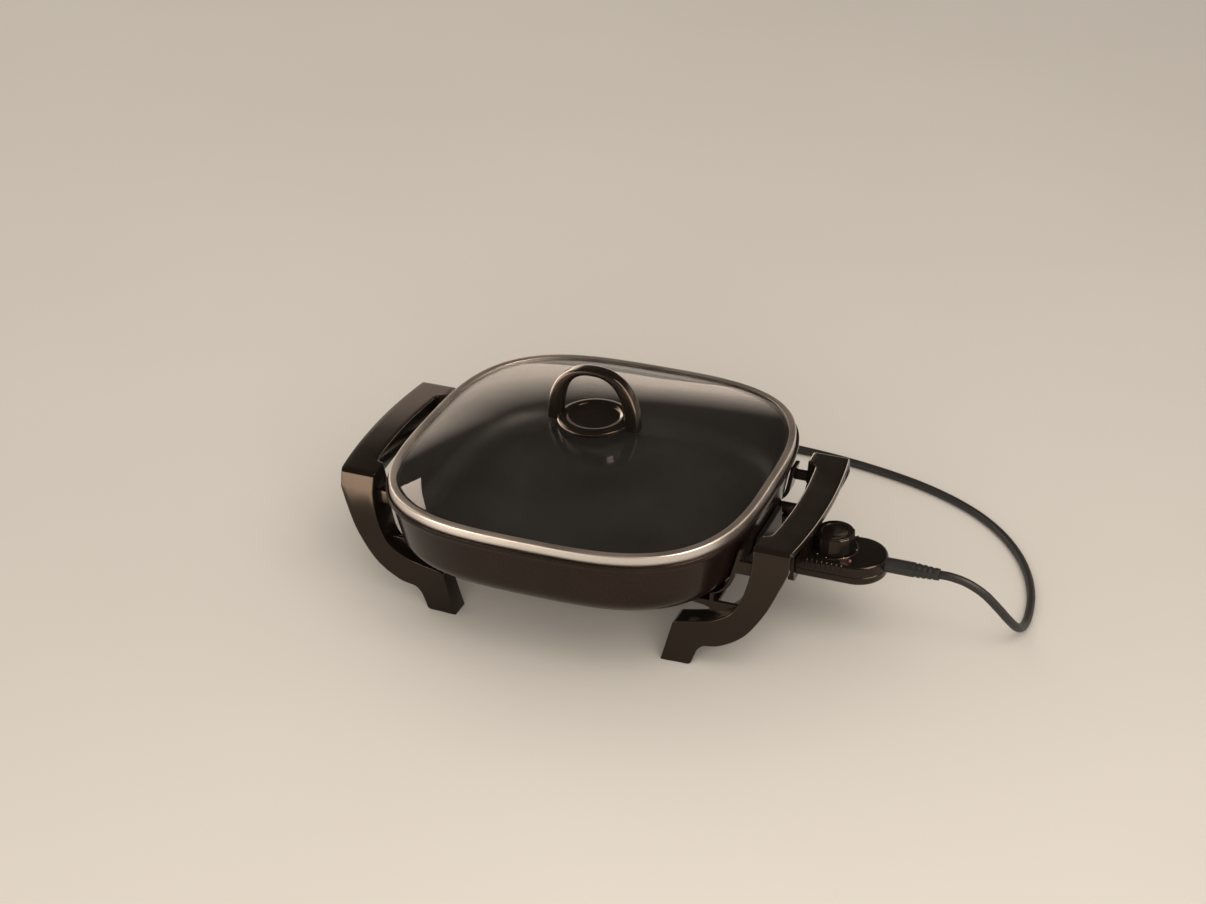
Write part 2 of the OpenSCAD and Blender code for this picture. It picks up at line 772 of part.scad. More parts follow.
function dome_z(half) = dome_rise * (1 - pow(min(half / margin_half, 1), dome_power));
function dome_squareness(half) = 2 + (squareness - 2) * pow(min(half / margin_half, 1), 2);
module lid_glass() color("#b9c4c8", 0.4) {
    halves = [knob_hole_r, 30, 60, 88, 112, 130, margin_half];
    under = [for (h = halves) [h, glass_top - glass_t + dome_z(h), dome_squareness(h)]];
    upper = [for (h = reversed(halves)) [h, glass_top + dome_z(h), dome_squareness(h)]];
    closed_loft(concat(
        under,
        [[glass_half - 1, glass_top - glass_t, squareness], [glass_half, glass_top - glass_t + 1, squareness],
         [glass_half, glass_top - 1, squareness], [glass_half - 1, glass_top, squareness]],
        upper
    ));
}
module lid_band() color("#cfc9c0") {
    inner = band_half - band_lip;
    return_top = glass_top - glass_t - seat_gap;
    closed_loft([for (p = [
        [inner, band_z], [band_half - 0.6, band_z], [band_half, band_z + 0.6],
        [band_half, band_top - 0.9], [band_half - 0.9, band_top], [inner, band_top],
        [inner, band_top - band_t], [band_half - band_t, band_top - band_t],
        [band_half - band_t, band_z + band_t], [inner + band_t, band_z + band_t],
        [inner + band_t, return_top], [inner, return_top]
    ]) [p[0], p[1], squareness]]);
}

// ---------------------------------------------------------------- knob

function hoop_arc(half_w, height) = [for (i = [0:32]) let (a = 180 * i / 32)
    [half_w * sign(cos(a)) * pow(abs(cos(a)), 2 / hoop_power), height * pow(sin(a), 2 / hoop_power)]];
module knob_hoop() color("#121110") difference() {
    inner_half = hoop_w / 2 - hoop_foot_t;
    union() {
        translate([0, 0, saddle_z]) along_y(-hoop_d / 2, hoop_d / 2) difference() {
            polygon(hoop_arc(hoop_w / 2, hoop_h));
            polygon(hoop_arc(inner_half, hoop_h - hoop_crown_t));
        }
        translate([0, 0, saddle_z]) {
            cylinder(h = saddle_t, r = saddle_r);
            translate([-hoop_w / 2 + 3, -hoop_d / 2, 0]) cube([hoop_w - 6, hoop_d, saddle_t]);
        }
    }
    // pocket for the cap's rim, and the hole for its boss
    translate([0, 0, cap_z]) cylinder(h = cap_t + seat_gap, d = cap_d + 2 * seat_gap);
    translate([0, 0, saddle_z - 1]) cylinder(h = saddle_t + 2, r = cap_boss_r + thread_gap);
}
module knob_cap() color("#0f0e0e") difference() {
    rim = cap_d / 2;
    rotate_extrude() polygon(concat(
        [[0, saddle_z], [cap_boss_r, saddle_z], [cap_boss_r, cap_z], [rim - 3, cap_z]],
        arc([rim - 2, cap_z + 2.4], 2, -60, 90, 5),
        [for (i = [0:8]) let (r = (rim - 5) * (1 - i / 8)) [r, cap_z + 2 + 2 * pow(r / (rim - 5), 2)]]
    ));
    translate([0, 0, saddle_z - 1]) cylinder(h = saddle_t + 2.4, d = screw_d + 2 * thread_gap);
}
module knob_gasket() color("#3a3734") difference() {
    translate([0, 0, gasket_z]) cylinder(h = gasket_t, r = 9);
    cylinder(h = deep, d = screw_d + 0.6);
}
module knob_washer() color("#c4c4c4") difference() {
    translate([0, 0, gasket_z - washer_t]) cylinder(h = washer_t, r = 8);
    cylinder(h = deep, d = screw_d + 0.4);
}
module knob_screw() color("#c4c4c4")
    screw_up(gasket_z - washer_t, saddle_z - gasket_z + washer_t + 3.4);

// ---------------------------------------------------------------- heat control

// Plan of the control's body, inset by a wall
module body_plan(inset) {
    translate([body_x + inset, -control_w / 2 + inset])
        square([body_round_x - body_x - inset, control_w - 2 * inset]);
    translate([body_round_x, 0]) circle(r = body_end_r - inset);
}
// Half of the body's section, from its middle out: upright side, rounded upper edge
module cover_half_section(inset, base) {
    r = cover_edge_r - inset;
    half = body_end_r - inset;
    top = body_top - inset;
    polygon(concat([[0, base], [half, base]], arc([half - r, top - r], r, 0, 90, 6), [[0, top]]));
}
module cover_solid(inset, base) {
    translate([body_round_x, 0, 0]) rotate(-90) rotate_extrude(angle = 180)
        cover_half_section(inset, base);
    along_x(body_x + inset, body_round_x) {
        cover_half_section(inset, base);
        mirror([1, 0]) cover_half_section(inset, base);
    }
}
module control_bosses(z0, z1, r) {
    for (i = [0, 1]) both_sides(control_screw_y[i])
        translate([control_screw_x[i], 0, z0]) cylinder(h = z1 - z0, r = r);
}
module relief_bore(r) {
    translate([0, 0, relief_z]) rod_x(body_end_x - control_wall - 2, deep, r);
}
module rib_row() {
    first = dial_x - 16.5;
    for (i = [0:rib_count - 1])
        translate([first + i * rib_pitch, control_w / 2 - 1, split_z + 0.6])
            cube([1.6, 1.7, body_top - cover_edge_r - split_z - 0.6]);
}
module control_base() color("#1a1716") difference() {
    union() {
        difference() {
            along_z(body_z, split_z) body_plan(0);
            along_z(body_z + control_wall, split_z + 1) body_plan(control_wall);
        }
        control_bosses(body_z + control_wall / 2, split_z, boss_r);
    }
    control_bosses(body_z - 1, split_z + 1, small_screw_r + 0.2);
    control_bosses(body_z - 1, body_z + 1.4, small_screw_r + 1.4);
    relief_bore(relief_d / 2 + thread_gap);
    // window in the front wall, through which the thermostat's frame meets the probe
    translate([body_x - 1, -window_w / 2, body_z + control_wall])
        cube([control_wall + 2, window_w, control_h]);
}
module control_cover() color("#141211") difference() {
    union() {
        difference() {
            cover_solid(0, split_z);
            cover_solid(control_wall, split_z - 1);
        }
        control_bosses(split_z + seat_gap, body_top - control_wall / 2, boss_r);
        for (side = [0, 1]) mirror([0, side, 0]) rib_row();
        // collar that carries the dial's shaft, and the lamp's holder
        translate([dial_x, 0, body_top - 6]) cylinder(h = 5, r = shaft_d / 2 + 2);
        translate([lens_pos[0], lens_pos[1], split_z + 2])
            cylinder(h = body_top - split_z - 3, r = lens_r + 1.3);
    }
    control_bosses(0, body_top - control_wall, small_screw_r + thread_gap);
    translate([dial_x, 0, split_z]) cylinder(h = deep, r = shaft_d / 2 + fit_gap);
    translate([lens_pos[0], lens_pos[1], split_z]) cylinder(h = deep, r = lens_r + thread_gap);
    relief_bore(relief_d / 2 + thread_gap);
}
module control_screws() color("#8a8a8a") {
    control_bosses(body_z - 0.3, body_z + 1.3, small_screw_r + 1.2);
    control_bosses(body_z + 1.2, body_top - control_wall - 1, small_screw_r);
}
module probe_housing() color("#171514") difference() {
    union() {
        translate([nose_x, -nose_w / 2, nose_bottom]) cube([flange_x - nose_x, nose_w, nose_h]);
        along_x(flange_x, body_x - thread_gap) offset(r = 3) offset(delta = -3)
            translate([-control_w / 2 - 2, nose_bottom - 1])
                square([control_w + 4, body_top + 2 - nose_bottom + 1]);
    }
    translate([0, 0, heater_z]) {
        both_sides(pin_y) {
            rod_x(0, nose_x + contact_len + 2, pin_bore_r);
            rod_x(0, deep, contact_tail_r + thread_gap);
        }
        rod_x(0, deep, probe_d / 2 + thread_gap);
    }
}
module contact_sleeves() color("#c9a25a") translate([0, 0, heater_z]) both_sides(pin_y) {
    inner_r = pin_d / 2 + contact_gap;
    difference() {
        rod_x(nose_x + 1.5, nose_x + 1.5 + contact_len, inner_r + contact_wall);
        rod_x(0, nose_x + contact_len, inner_r);
    }
    rod_x(nose_x + contact_len + 1, body_x, contact_tail_r);
}
module probe_rod() color("#b9bcbe") translate([0, 0, heater_z]) {
    rod_x(probe_tip_x + probe_d / 2, body_x, probe_d / 2);
    translate([probe_tip_x + probe_d / 2, 0, 0]) sphere(d = probe_d);
}

// Straps from the contacts' tails to the blades
module lead_straps() color("#b87333") for (side = [0, 1]) mirror([0, side, 0])
    translate([frame_x, 0, heater_z + contact_tail_r - 0.2]) {
        translate([0, pin_y - strap_w / 2, 0]) cube([strap_len, strap_w, strap_metal_t]);
        translate([strap_len - strap_w, frame_w / 2 + seat_gap, 0])
            cube([strap_w, pin_y - frame_w / 2 - seat_gap, strap_metal_t]);
    }
module thermostat_frame() color("#a7a9a8") {
    translate([frame_x, -frame_w / 2, frame_z]) cube([frame_len, frame_w, frame_t]);
    translate([frame_x + frame_len - frame_t, -frame_w / 2, frame_z])
        cube([frame_t, frame_w, stack_h]);
}
module blade_stack() color("#e6dfd2")
    translate([stack_x, -frame_w / 2 + 1, frame_z + frame_t + thread_gap])
        cube([stack_len, frame_w - 2, stack_h]);
module contact_blades() color("#b87333") {
    start = stack_x + stack_len + thread_gap;
    for (blade = [[-1, 2], [1, 5]])
        translate([start, blade[0] * blade_w / 2 * 1.2 - blade_w / 2, frame_z + frame_t + blade[1]])
            cube([blade_len - stack_len, blade_w, blade_t]);
    for (blade = [[-1, 2], [1, 5]])
        translate([start + blade_len - stack_len - 3, blade[0] * blade_w / 2 * 1.2,
            frame_z + frame_t + blade[1] + blade_t])
            cylinder(h = 0.8, r = 1.5);
}
module indicator_lens() color("#b3201b") translate([lens_pos[0], lens_pos[1], body_top - 2])
    rotate_extrude() polygon(concat([[0, 0], [lens_r, 0], [lens_r, 2]],
        arc([0, 2], lens_r, 0, 90, 6)));
module indicator_lamp() color("#f0a060") translate([lens_pos[0], lens_pos[1], split_z + 2.2]) {
    cylinder(h = body_top - split_z - 6.5, r = lens_r - 0.3);
    translate([0, 0, body_top - split_z - 6.5]) sphere(r = lens_r - 0.3);
}
module bezel_ring() color("#8f8f90") translate([dial_x, 0, body_top]) rotate_extrude()
    polygon([[bezel_r - bezel_w / 2, 0], [bezel_r + bezel_w / 2, 0],
        [bezel_r + bezel_w / 4, bezel_h], [bezel_r - bezel_w / 4, bezel_h]]);

// ---------------------------------------------------------------- dial

module dial() color("#131212") translate([dial_x, 0, dial_z]) difference() {
    union() {
        linear_extrude(dial_h - dial_rim_h)
            polygon([for (i = [0:flute_count * flute_steps - 1])
                let (a = 360 * i / flute_count / flute_steps)
                (dial_d / 2 - flute_depth * pow(cos(flute_count * a / 2), 2)) * [cos(a), sin(a)]]);
        cylinder(h = dial_h, r = dial_d / 2 - flute_depth - 0.4);
        // pointer rib down the side
        rotate(-60) translate([dial_d / 2 - 1.4, -0.8, 0]) cube([1.9, 1.6, dial_h - dial_rim_h]);
    }
    translate([0, 0, dial_h - dial_rim_h])
        cylinder(h = 1 + dial_rim_h, r = dial_d / 2 - flute_depth - 0.4 - dial_rim_w);
    translate([0, 0, -1]) cylinder(h = 1 + shaft_socket, r = shaft_d / 2 + thread_gap);
    // hollow skirt
    translate([0, 0, -1]) difference() {
        cylinder(h = dial_h - 4, r = dial_d / 2 - 3);
        cylinder(h = dial_h - 4, r = shaft_d / 2 + 2.5);
    }
}
module dial_shaft() color("#a0a2a3") translate([dial_x, 0, shaft_bottom])
    cylinder(h = dial_z + shaft_socket - 0.2 - shaft_bottom, r = shaft_d / 2);

// ---------------------------------------------------------------- cord

module strain_relief() color("#121212") translate([0, 0, relief_z]) difference() {
    // plain boot at the control, then a tapered and grooved tail
    start = body_end_x - control_wall - 1;
    tail_x = body_end_x + relief_len / 2;
    pitch = (relief_len / 2 - 3) / relief_grooves;
    taper = (relief_d - relief_tip_d) / relief_len;
    translate([start, 0, 0]) rotate([0, 90, 0]) rotate_extrude() polygon([
        [0, 0], [relief_d / 2, 0], [relief_d / 2, tail_x - start],
        [relief_tip_d / 2, relief_tip_x - start], [0, relief_tip_x - start]
    ]);
    for (i = [0:relief_grooves - 1]) let (x = tail_x + 1.5 + i * pitch)
        translate([x, 0, 0]) rotate([0, 90, 0]) difference() {
            cylinder(h = 2, r = relief_d);
            translate([0, 0, -1])
                cylinder(h = 4, r = relief_d / 2 - taper * (x - tail_x) - relief_groove);
        }
}
module cord_lead() color("#141414") tube(spline(cord_route, 2), cord_r, cord_sides);
module cord_tail() color("#141414") tube(tail_route, cord_r, cord_sides);
module cord_coil() color("#141414") translate([coil_centre[0], coil_centre[1], coil_base])
    rotate_extrude() translate([coil_r - cord_r, 0]) square([cord_d, coil_layers * cord_d]);
module cord_tie() color("#202020") translate([coil_centre[0], coil_centre[1], coil_base])
    rotate(-tie_angle / 2) rotate_extrude(angle = tie_angle) difference() {
        translate([coil_r - cord_r - tie_t - 0.05, -tie_t - 0.05])
            square([cord_d + 2 * tie_t + 0.1, coil_layers * cord_d + 2 * tie_t + 0.1]);
        translate([coil_r - cord_r - 0.05, -0.05])
            square([cord_d + 0.1, coil_layers * cord_d + 0.1]);
    }
module plug_body() color("#121212") translate([plug_x, plug_y, plug_t / 2]) intersection() {
    along_z(-plug_t / 2, plug_t / 2) polygon([
        [0, -4.6], [8, -7], [14, -plug_w / 2], [plug_len - 1, -plug_w / 2], [plug_len, -plug_w / 2 + 1],
        [plug_len, plug_w / 2 - 1], [plug_len - 1, plug_w / 2], [14, plug_w / 2], [8, 7], [0, 4.6]
    ]);
    along_y(-plug_w, plug_w) polygon([
        [0, -4.6], [9, -6.4], [15, -plug_t / 2], [plug_len, -plug_t / 2],
        [plug_len, plug_t / 2], [15, plug_t / 2], [9, 6.4], [0, 4.6]
    ]);
}
module plug_blades() color("#c8b070") translate([plug_x + plug_len, plug_y, plug_t / 2])
    both_sides(blade_gap / 2) translate([0, -0.75, -3.2]) cube([blade_reach, 1.5, 6.4]);

// ---------------------------------------------------------------- assembly

module in_frame() translate([-middle_x, 0, 0]) children();

in_frame() pan();
in_frame() heating_element();
in_frame() terminal_pins();
in_frame() terminal_insulators();
in_frame() probe_sleeve();
in_frame() pan_studs();
in_frame() terminal_guard();
in_frame() guard_screws();
in_frame() handle_right();
in_frame() handle_left();
in_frame() handle_screws();
in_frame() lid_glass();
in_frame() lid_band();
in_frame() knob_hoop();
in_frame() knob_cap();
in_frame() knob_gasket();
in_frame() knob_washer();
in_frame() knob_screw();
in_frame() probe_housing();
in_frame() control_base();
in_frame() control_cover();
in_frame() control_screws();
in_frame() thermostat_frame();
in_frame() blade_stack();
in_frame() contact_blades();
in_frame() contact_sleeves();
in_frame() lead_straps();
in_frame() probe_rod();
in_frame() indicator_lens();
in_frame() indicator_lamp();
in_frame() bezel_ring();
in_frame() dial();
in_frame() dial_shaft();
in_frame() strain_relief();
in_frame() cord_lead();
in_frame() cord_coil();
in_frame() cord_tail();
in_frame() cord_tie();
in_frame() plug_body();
in_frame() plug_blades();
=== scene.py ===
import math

import bmesh
import bpy
from mathutils import Matrix, Quaternion, Vector


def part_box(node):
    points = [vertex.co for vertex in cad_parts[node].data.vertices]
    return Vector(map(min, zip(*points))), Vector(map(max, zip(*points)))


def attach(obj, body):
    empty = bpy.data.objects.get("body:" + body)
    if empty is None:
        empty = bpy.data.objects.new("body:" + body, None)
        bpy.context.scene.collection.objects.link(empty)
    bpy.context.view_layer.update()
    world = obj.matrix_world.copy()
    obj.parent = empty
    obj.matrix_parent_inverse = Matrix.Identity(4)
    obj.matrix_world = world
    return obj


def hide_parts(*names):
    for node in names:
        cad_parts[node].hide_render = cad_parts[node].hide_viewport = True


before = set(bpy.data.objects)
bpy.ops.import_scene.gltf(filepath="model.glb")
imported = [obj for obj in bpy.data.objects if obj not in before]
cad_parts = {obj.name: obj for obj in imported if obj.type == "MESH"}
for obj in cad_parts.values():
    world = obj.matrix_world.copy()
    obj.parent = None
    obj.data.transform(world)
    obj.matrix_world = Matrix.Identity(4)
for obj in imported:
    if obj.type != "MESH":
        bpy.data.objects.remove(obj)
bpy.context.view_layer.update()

# Sizes below are millimetres, measured from the middle of the pan on the table, as in the part's
# source. at() turns them into the frame's metres.
MM = 0.001
pan_low, pan_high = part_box("pan")
PAN_X = (pan_low.x + pan_high.x) / 2
PAN_HALF = (pan_high.x - pan_low.x) / 2 / MM
PAN_BOTTOM = pan_low.z / MM
LIP_Z = pan_high.z / MM


def at(x, y, z):
    return Vector((PAN_X + x * MM, y * MM, z * MM))


def node_box(node):
    """Lowest and highest corner of a CAD node, in millimetres from the middle of the pan."""
    return [((p.x - PAN_X) / MM, p.y / MM, p.z / MM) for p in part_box(node)]


def new_object(name, data):
    item = bpy.data.objects.new(name, data)
    bpy.context.scene.collection.objects.link(item)
    return item


# -------- camera

# Fitted to the printed picture. The distance is in metres.
AZIMUTH = math.radians(22.24)
ELEVATION = math.radians(30.13)
ROLL = math.radians(-1.10)
DISTANCE = 1.948
TARGET = (2.8, 9.3, 117.0)
LENS, SENSOR_W = 71.94, 36.0


def add_camera():
    forward = Vector((
        -math.sin(AZIMUTH) * math.cos(ELEVATION),
        math.cos(AZIMUTH) * math.cos(ELEVATION),
        -math.sin(ELEVATION),
    ))
    level = Vector((math.cos(AZIMUTH), math.sin(AZIMUTH), 0))
    upward = level.cross(forward)
    right = level * math.cos(ROLL) + upward * math.sin(ROLL)
    up = upward * math.cos(ROLL) - level * math.sin(ROLL)
    data = bpy.data.cameras.new("camera")
    data.lens = LENS
    data.sensor_width = SENSOR_W
    camera = new_object("camera", data)
    rotation = Matrix((right, up, -forward)).transposed().to_4x4()
    camera.matrix_world = Matrix.Translation(at(*TARGET) - forward * DISTANCE) @ rotation
    bpy.context.scene.camera = camera


add_camera()


# -------- lines and curves

def lerp(a, b, t):
    return tuple(p + (q - p) * t for p, q in zip(a, b))


def between(low, high, steps):
    """Values at even steps, with both ends."""
    return [low + (high - low) * i / steps for i in range(steps + 1)]


def smooth_step(t):
    t = min(max(t, 0), 1)
    return t * t * (3 - 2 * t)


def arc(centre, radius, start, end, steps):
    """Points of a circle, with the angles in degrees."""
    turn = [math.radians(angle) for angle in between(start, end, steps)]
    return [(centre[0] + radius * math.cos(a), centre[1] + radius * math.sin(a)) for a in turn]


def spline(points, steps):
    """Catmull-Rom curve through the points."""
    line = []
    for i in range(len(points) - 1):
        p, q = points[max(i - 1, 0)], points[i]
        r, s = points[i + 1], points[min(i + 2, len(points) - 1)]
        for k in range(steps):
            t = k / steps
            line.append(tuple(
                (2 * b + (c - a) * t + (2 * a - 5 * b + 4 * c - d) * t ** 2
                 + (3 * b - a - 3 * c + d) * t ** 3) / 2
                for a, b, c, d in zip(p, q, r, s)
            ))
    return line + [tuple(points[-1])]


def spans(line, marks):
    """The stretches of a line between its points with these numbers."""
    return [line[start:end + 1] for start, end in zip(marks, marks[1:])]


def resample(line, count):
    """The same line as count + 1 points at even distances."""
    travelled = [0.0]
    for p, q in zip(line, line[1:]):
        travelled.append(travelled[-1] + math.dist(p, q))
    points, k = [], 0
    for goal in between(0, travelled[-1], count):
        while k < len(line) - 2 and travelled[k + 1] < goal:
            k += 1
        span = travelled[k + 1] - travelled[k]
        points.append(lerp(line[k], line[k + 1], (goal - travelled[k]) / span if span else 0))
    return points


def rounded(corners, radii, steps=4):
    """A closed outline with each corner rounded by its own radius, as far as its sides allow."""
    outline = []
    for i, corner in enumerate(corners):
        before, after = corners[i - 1], corners[(i + 1) % len(corners)]
        into = Vector(corner) - Vector(before)
        away = Vector(after) - Vector(corner)
        most = 0.49 * min(into.length, away.length)
        cut = min(radii[i] * math.tan(into.angle(away) / 2), most)
        start = Vector(corner) - into.normalized() * cut
        end = Vector(corner) + away.normalized() * cut
        for t in between(0, 1, steps):
            outline.append(tuple(
                start * (1 - t) ** 2 + Vector(corner) * 2 * t * (1 - t) + end * t ** 2
            ))
    return outline


# -------- meshes

def add_object(name, mesh, body, material, replaced=()):
    piece = new_object(name, mesh)
    mesh.materials.append(material)
    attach(piece, body)
    if replaced:
        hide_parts(*replaced)
    return piece


def build_mesh(name, points, faces, sharp):
    """A smooth mesh whose edges are sharp above an angle in degrees."""
    mesh = bpy.data.meshes.new(name)
    mesh.from_pydata([at(*p) for p in points], [], faces)
    shell = bmesh.new()
    shell.from_mesh(mesh)
    bmesh.ops.recalc_face_normals(shell, faces=shell.faces)
    shell.to_mesh(mesh)
    shell.free()
    mesh.shade_smooth()
    mesh.set_sharp_from_angle(angle=math.radians(sharp))
    return mesh


def tube_faces(rows, columns, closed=False):
    """Faces between rings of points. The last ring of a closed tube meets its first, and any
    other tube has a cap on both ends."""
    faces = []
    for i in range(rows if closed else rows - 1):
        for k in range(columns):
            j, n = (i + 1) % rows, (k + 1) % columns
            faces.append((i * columns + k, i * columns + n, j * columns + n, j * columns + k))
    last = (rows - 1) * columns
    caps = [tuple(range(columns)), tuple(range(last, last + columns))]
    return faces if closed else faces + caps


def join_tubes(tubes, columns):
    """Points and faces of several tubes in one mesh, with so many points in each ring."""
    points, faces = [], []
    for tube in tubes:
        start = len(points)
        points += tube
        for face in tube_faces(len(tube) // columns, columns):
            faces.append(tuple(start + v for v in face))
    return points, faces


def lathe(name, profile, centre, body, material, replaced=(), sides=128, sharp=40,
          closed=False, flute=None):
    """A round body about an upright line through centre, from a profile of (radius, height). A
    closed profile makes a ring. flute(radius, angle) gives the radius of a fluted body."""
    points = []
    for radius, height in profile:
        for k in range(sides):
            a = 2 * math.pi * k / sides
            r = flute(radius, a) if flute else radius
            points.append((centre[0] + r * math.cos(a), centre[1] + r * math.sin(a), height))
    faces = tube_faces(len(profile), sides, closed)
    add_object(name, build_mesh(name, points, faces, sharp), body, material, replaced)


def soften(piece, width, angle=35):
    """Rounds the edges of a piece by modifiers alone."""
    weld = piece.modifiers.new("weld", "WELD")
    weld.merge_threshold = 1e-5
    bevel = piece.modifiers.new("bevel", "BEVEL")
    bevel.width = width * MM
    bevel.segments = 2
    bevel.limit_method = "ANGLE"
    bevel.angle_limit = math.radians(angle)
    bevel.use_clamp_overlap = True
    normals = piece.modifiers.new("normals", "WEIGHTED_NORMAL")
    normals.keep_sharp = False


# -------- material nodes

# Most of a noise's values lie in this range
NOISE_LOW, NOISE_HIGH = 0.3, 0.7


class Shader:
    """The node tree of a material or a world. A value given to an input is set, and a socket is
    linked."""

    def __init__(self, name, owners=bpy.data.materials):
        self.owner = owners.new(name)
        self.owner.use_nodes = True
        self.tree = self.owner.node_tree
        self.tree.nodes.clear()

    def add(self, kind, inputs=None, **settings):
        node = self.tree.nodes.new("ShaderNode" + kind)
        for key, value in settings.items():
            setattr(node, key, value)
        for key, value in (inputs or {}).items():
            if isinstance(value, bpy.types.NodeSocket):
                self.tree.links.new(value, node.inputs[key])
            else:
                node.inputs[key].default_value = value
        return node

    def place(self, stretch=(1, 1, 1), source="Object"):
        spot = self.add("TexCoord").outputs[source]
        return self.add("Mapping", {"Vector": spot, "Scale": stretch}).outputs["Vector"]

    def noise(self, vector, scale, detail=2.0, roughness=0.5):
        return self.add("TexNoise", {
            "Vector": vector, "Scale": scale, "Detail": detail, "Roughness": roughness,
        }).outputs[0]

    def spread(self, value, low, high, start=NOISE_LOW, end=NOISE_HIGH):
        """Maps a value from start to end, or the middle of a noise, to a range."""
        return self.add("MapRange", {
            "Value": value, "From Min": start, "From Max": end, "To Min": low, "To Max": high,
        }).outputs["Result"]

    def tone(self, value, dark, light):
        """Maps the middle of a noise to the colours between two."""
        ramp = self.add("ValToRGB", {"Fac": value})
        for stop, position, color in zip(
                ramp.color_ramp.elements, (NOISE_LOW, NOISE_HIGH), (dark, light)):
            stop.position = position
            stop.color = (*color, 1)
        return ramp.outputs["Color"]

    def blend(self, share, first, second):
        return self.add("Mix", {0: share, 6: first, 7: second}, data_type="RGBA").outputs[2]

    def bump(self, height, strength, distance, normal=None):
        inputs = {"Height": height, "Strength": strength, "Distance": distance}
        if normal:
            inputs["Normal"] = normal
        return self.add("Bump", inputs).outputs["Normal"]

    def finish(self, surface):
        is_world = isinstance(self.owner, bpy.types.World)
        self.add("OutputWorld" if is_world else "OutputMaterial", {"Surface": surface})
        return self.owner

    def principled(self, **inputs):
        """Ends the tree in a Principled BSDF with these inputs."""
        names = {key.replace("_", " "): value for key, value in inputs.items()}
        return self.finish(self.add("BsdfPrincipled", names).outputs[0])


def shades(color, amount):
    """A darker and a lighter form of a colour."""
    return [tuple(c * (1 - amount) for c in color), tuple(min(c * (1 + amount), 1) for c in color)]


# The black and brown surfaces of the picture reflect in a warm tone
WARM_GLOSS = (1.0, 0.80, 0.64, 1)


def moulded(name, color, roughness, grain):
    """Moulded plastic: slow clouds in tone and gloss, and a fine skin."""
    s = Shader(name)
    spot = s.place()
    clouds = s.noise(spot, 26, 3)
    ripple = s.bump(s.noise(spot, 60, 1), 0.05, 0.0006)
    return s.principled(
        Base_Color=s.tone(clouds, *shades(color, 0.18)),
        Roughness=s.spread(clouds, roughness * 0.85, roughness * 1.25),
        Specular_IOR_Level=0.35,
        Specular_Tint=WARM_GLOSS,
        Normal=s.bump(s.noise(spot, 1400, 2), grain, 0.00012, ripple),
    )


def enamel():
    """Glossy dark brown enamel, with faint painted glints: sparse specks of lighter colour stand in for the
    sparkle of its flakes.
    """
    s = Shader("enamel")
    spot = s.place()
    clouds = s.noise(spot, 18, 3)
    # A few of these cells get a lighter base colour below: painted glints, not a real colour of the enamel
    glint_cells = s.add("TexVoronoi", {"Vector": spot, "Scale": 2600}).outputs["Color"]
    painted_glint = s.add("SeparateColor", {"Color": glint_cells}).outputs[0]
    base = s.tone(clouds, (0.0080, 0.0042, 0.0034), (0.0135, 0.0072, 0.0056))
    return s.principled(
        Base_Color=s.blend(s.spread(painted_glint, 0, 0.12, 0.93, 1.0), base, (0.20, 0.13, 0.10, 1)),
        Roughness=s.spread(clouds, 0.12, 0.20),
        Specular_IOR_Level=0.22,
        Specular_Tint=WARM_GLOSS,
        Normal=s.bump(s.noise(spot, 240, 2), 0.03, 0.0003),
    )


def nonstick():
    """Nonstick coating: dark grey, finely pebbled and speckled."""
    s = Shader("nonstick")
    spot = s.place()
    clouds = s.noise(spot, 14, 3)
    specks = s.spread(s.noise(spot, 1900, 1), 0, 0.5, 0.62, 0.8)
    base = s.tone(clouds, (0.0095, 0.0090, 0.0080), (0.0165, 0.0155, 0.0140))
    return s.principled(
        Base_Color=s.blend(specks, base, (0.070, 0.064, 0.058, 1)),
        Roughness=s.spread(clouds, 0.32, 0.42),
        Specular_IOR_Level=0.4,
        Normal=s.bump(s.noise(spot, 900, 3), 0.22, 0.0002),
    )


def brushed(name, color, roughness, stretch, source="Object"):
    """Metal with fine lines along one direction, and slow variation of gloss."""
    s = Shader(name)
    lines = s.noise(s.place(stretch, source), 1, 3, 0.6)
    clouds = s.noise(s.place(), 24, 2)
    gloss = s.add("Math", {
        0: s.spread(lines, -0.06, 0.07), 1: s.spread(clouds, roughness * 0.85, roughness * 1.2),
    }, operation="ADD").outputs[0]
    return s.principled(
        Base_Color=s.tone(lines, *shades(color, 0.10)),
        Metallic=1.0,
        Roughness=gloss,
        Normal=s.bump(lines, 0.08, 0.00008),
    )


def mottled(name, clouds, tones, gloss, skin=None, **more):
    """Tone and gloss in clouds, given as (scale, detail, roughness), over a fine skin, given as
    (scale, strength)."""
    s = Shader(name)
    spot = s.place()
    cloud = s.noise(spot, *clouds)
    if skin:
        more["Normal"] = s.bump(s.noise(spot, skin[0], 2), skin[1], 0.0001)
    return s.principled(Base_Color=s.tone(cloud, *tones), Roughness=s.spread(cloud, *gloss), **more)


def fired_ceramic():
    s = Shader("fired_ceramic")
    pores = s.noise(s.place(), 1500, 3)
    return s.principled(
        Base_Color=s.tone(s.noise(s.place(), 120, 2), (0.70, 0.66, 0.58), (0.80, 0.77, 0.70)),
        Roughness=s.spread(pores, 0.45, 0.7),
        Normal=s.bump(pores, 0.2, 0.0001),
    )


def clear_glass():
    """Tempered glass with a faint haze."""
    s = Shader("clear_glass")
    spot = s.place()
    return s.principled(
        Base_Color=s.tone(s.noise(spot, 12, 2), (0.955, 0.975, 0.970), (0.970, 0.985, 0.980)),
        Roughness=s.spread(s.noise(spot, 30, 4, 0.6), 0.0, 0.012),
        IOR=1.5,
        Transmission_Weight=1.0,
        Normal=s.bump(s.noise(spot, 9, 1), 0.03, 0.0008),
    )


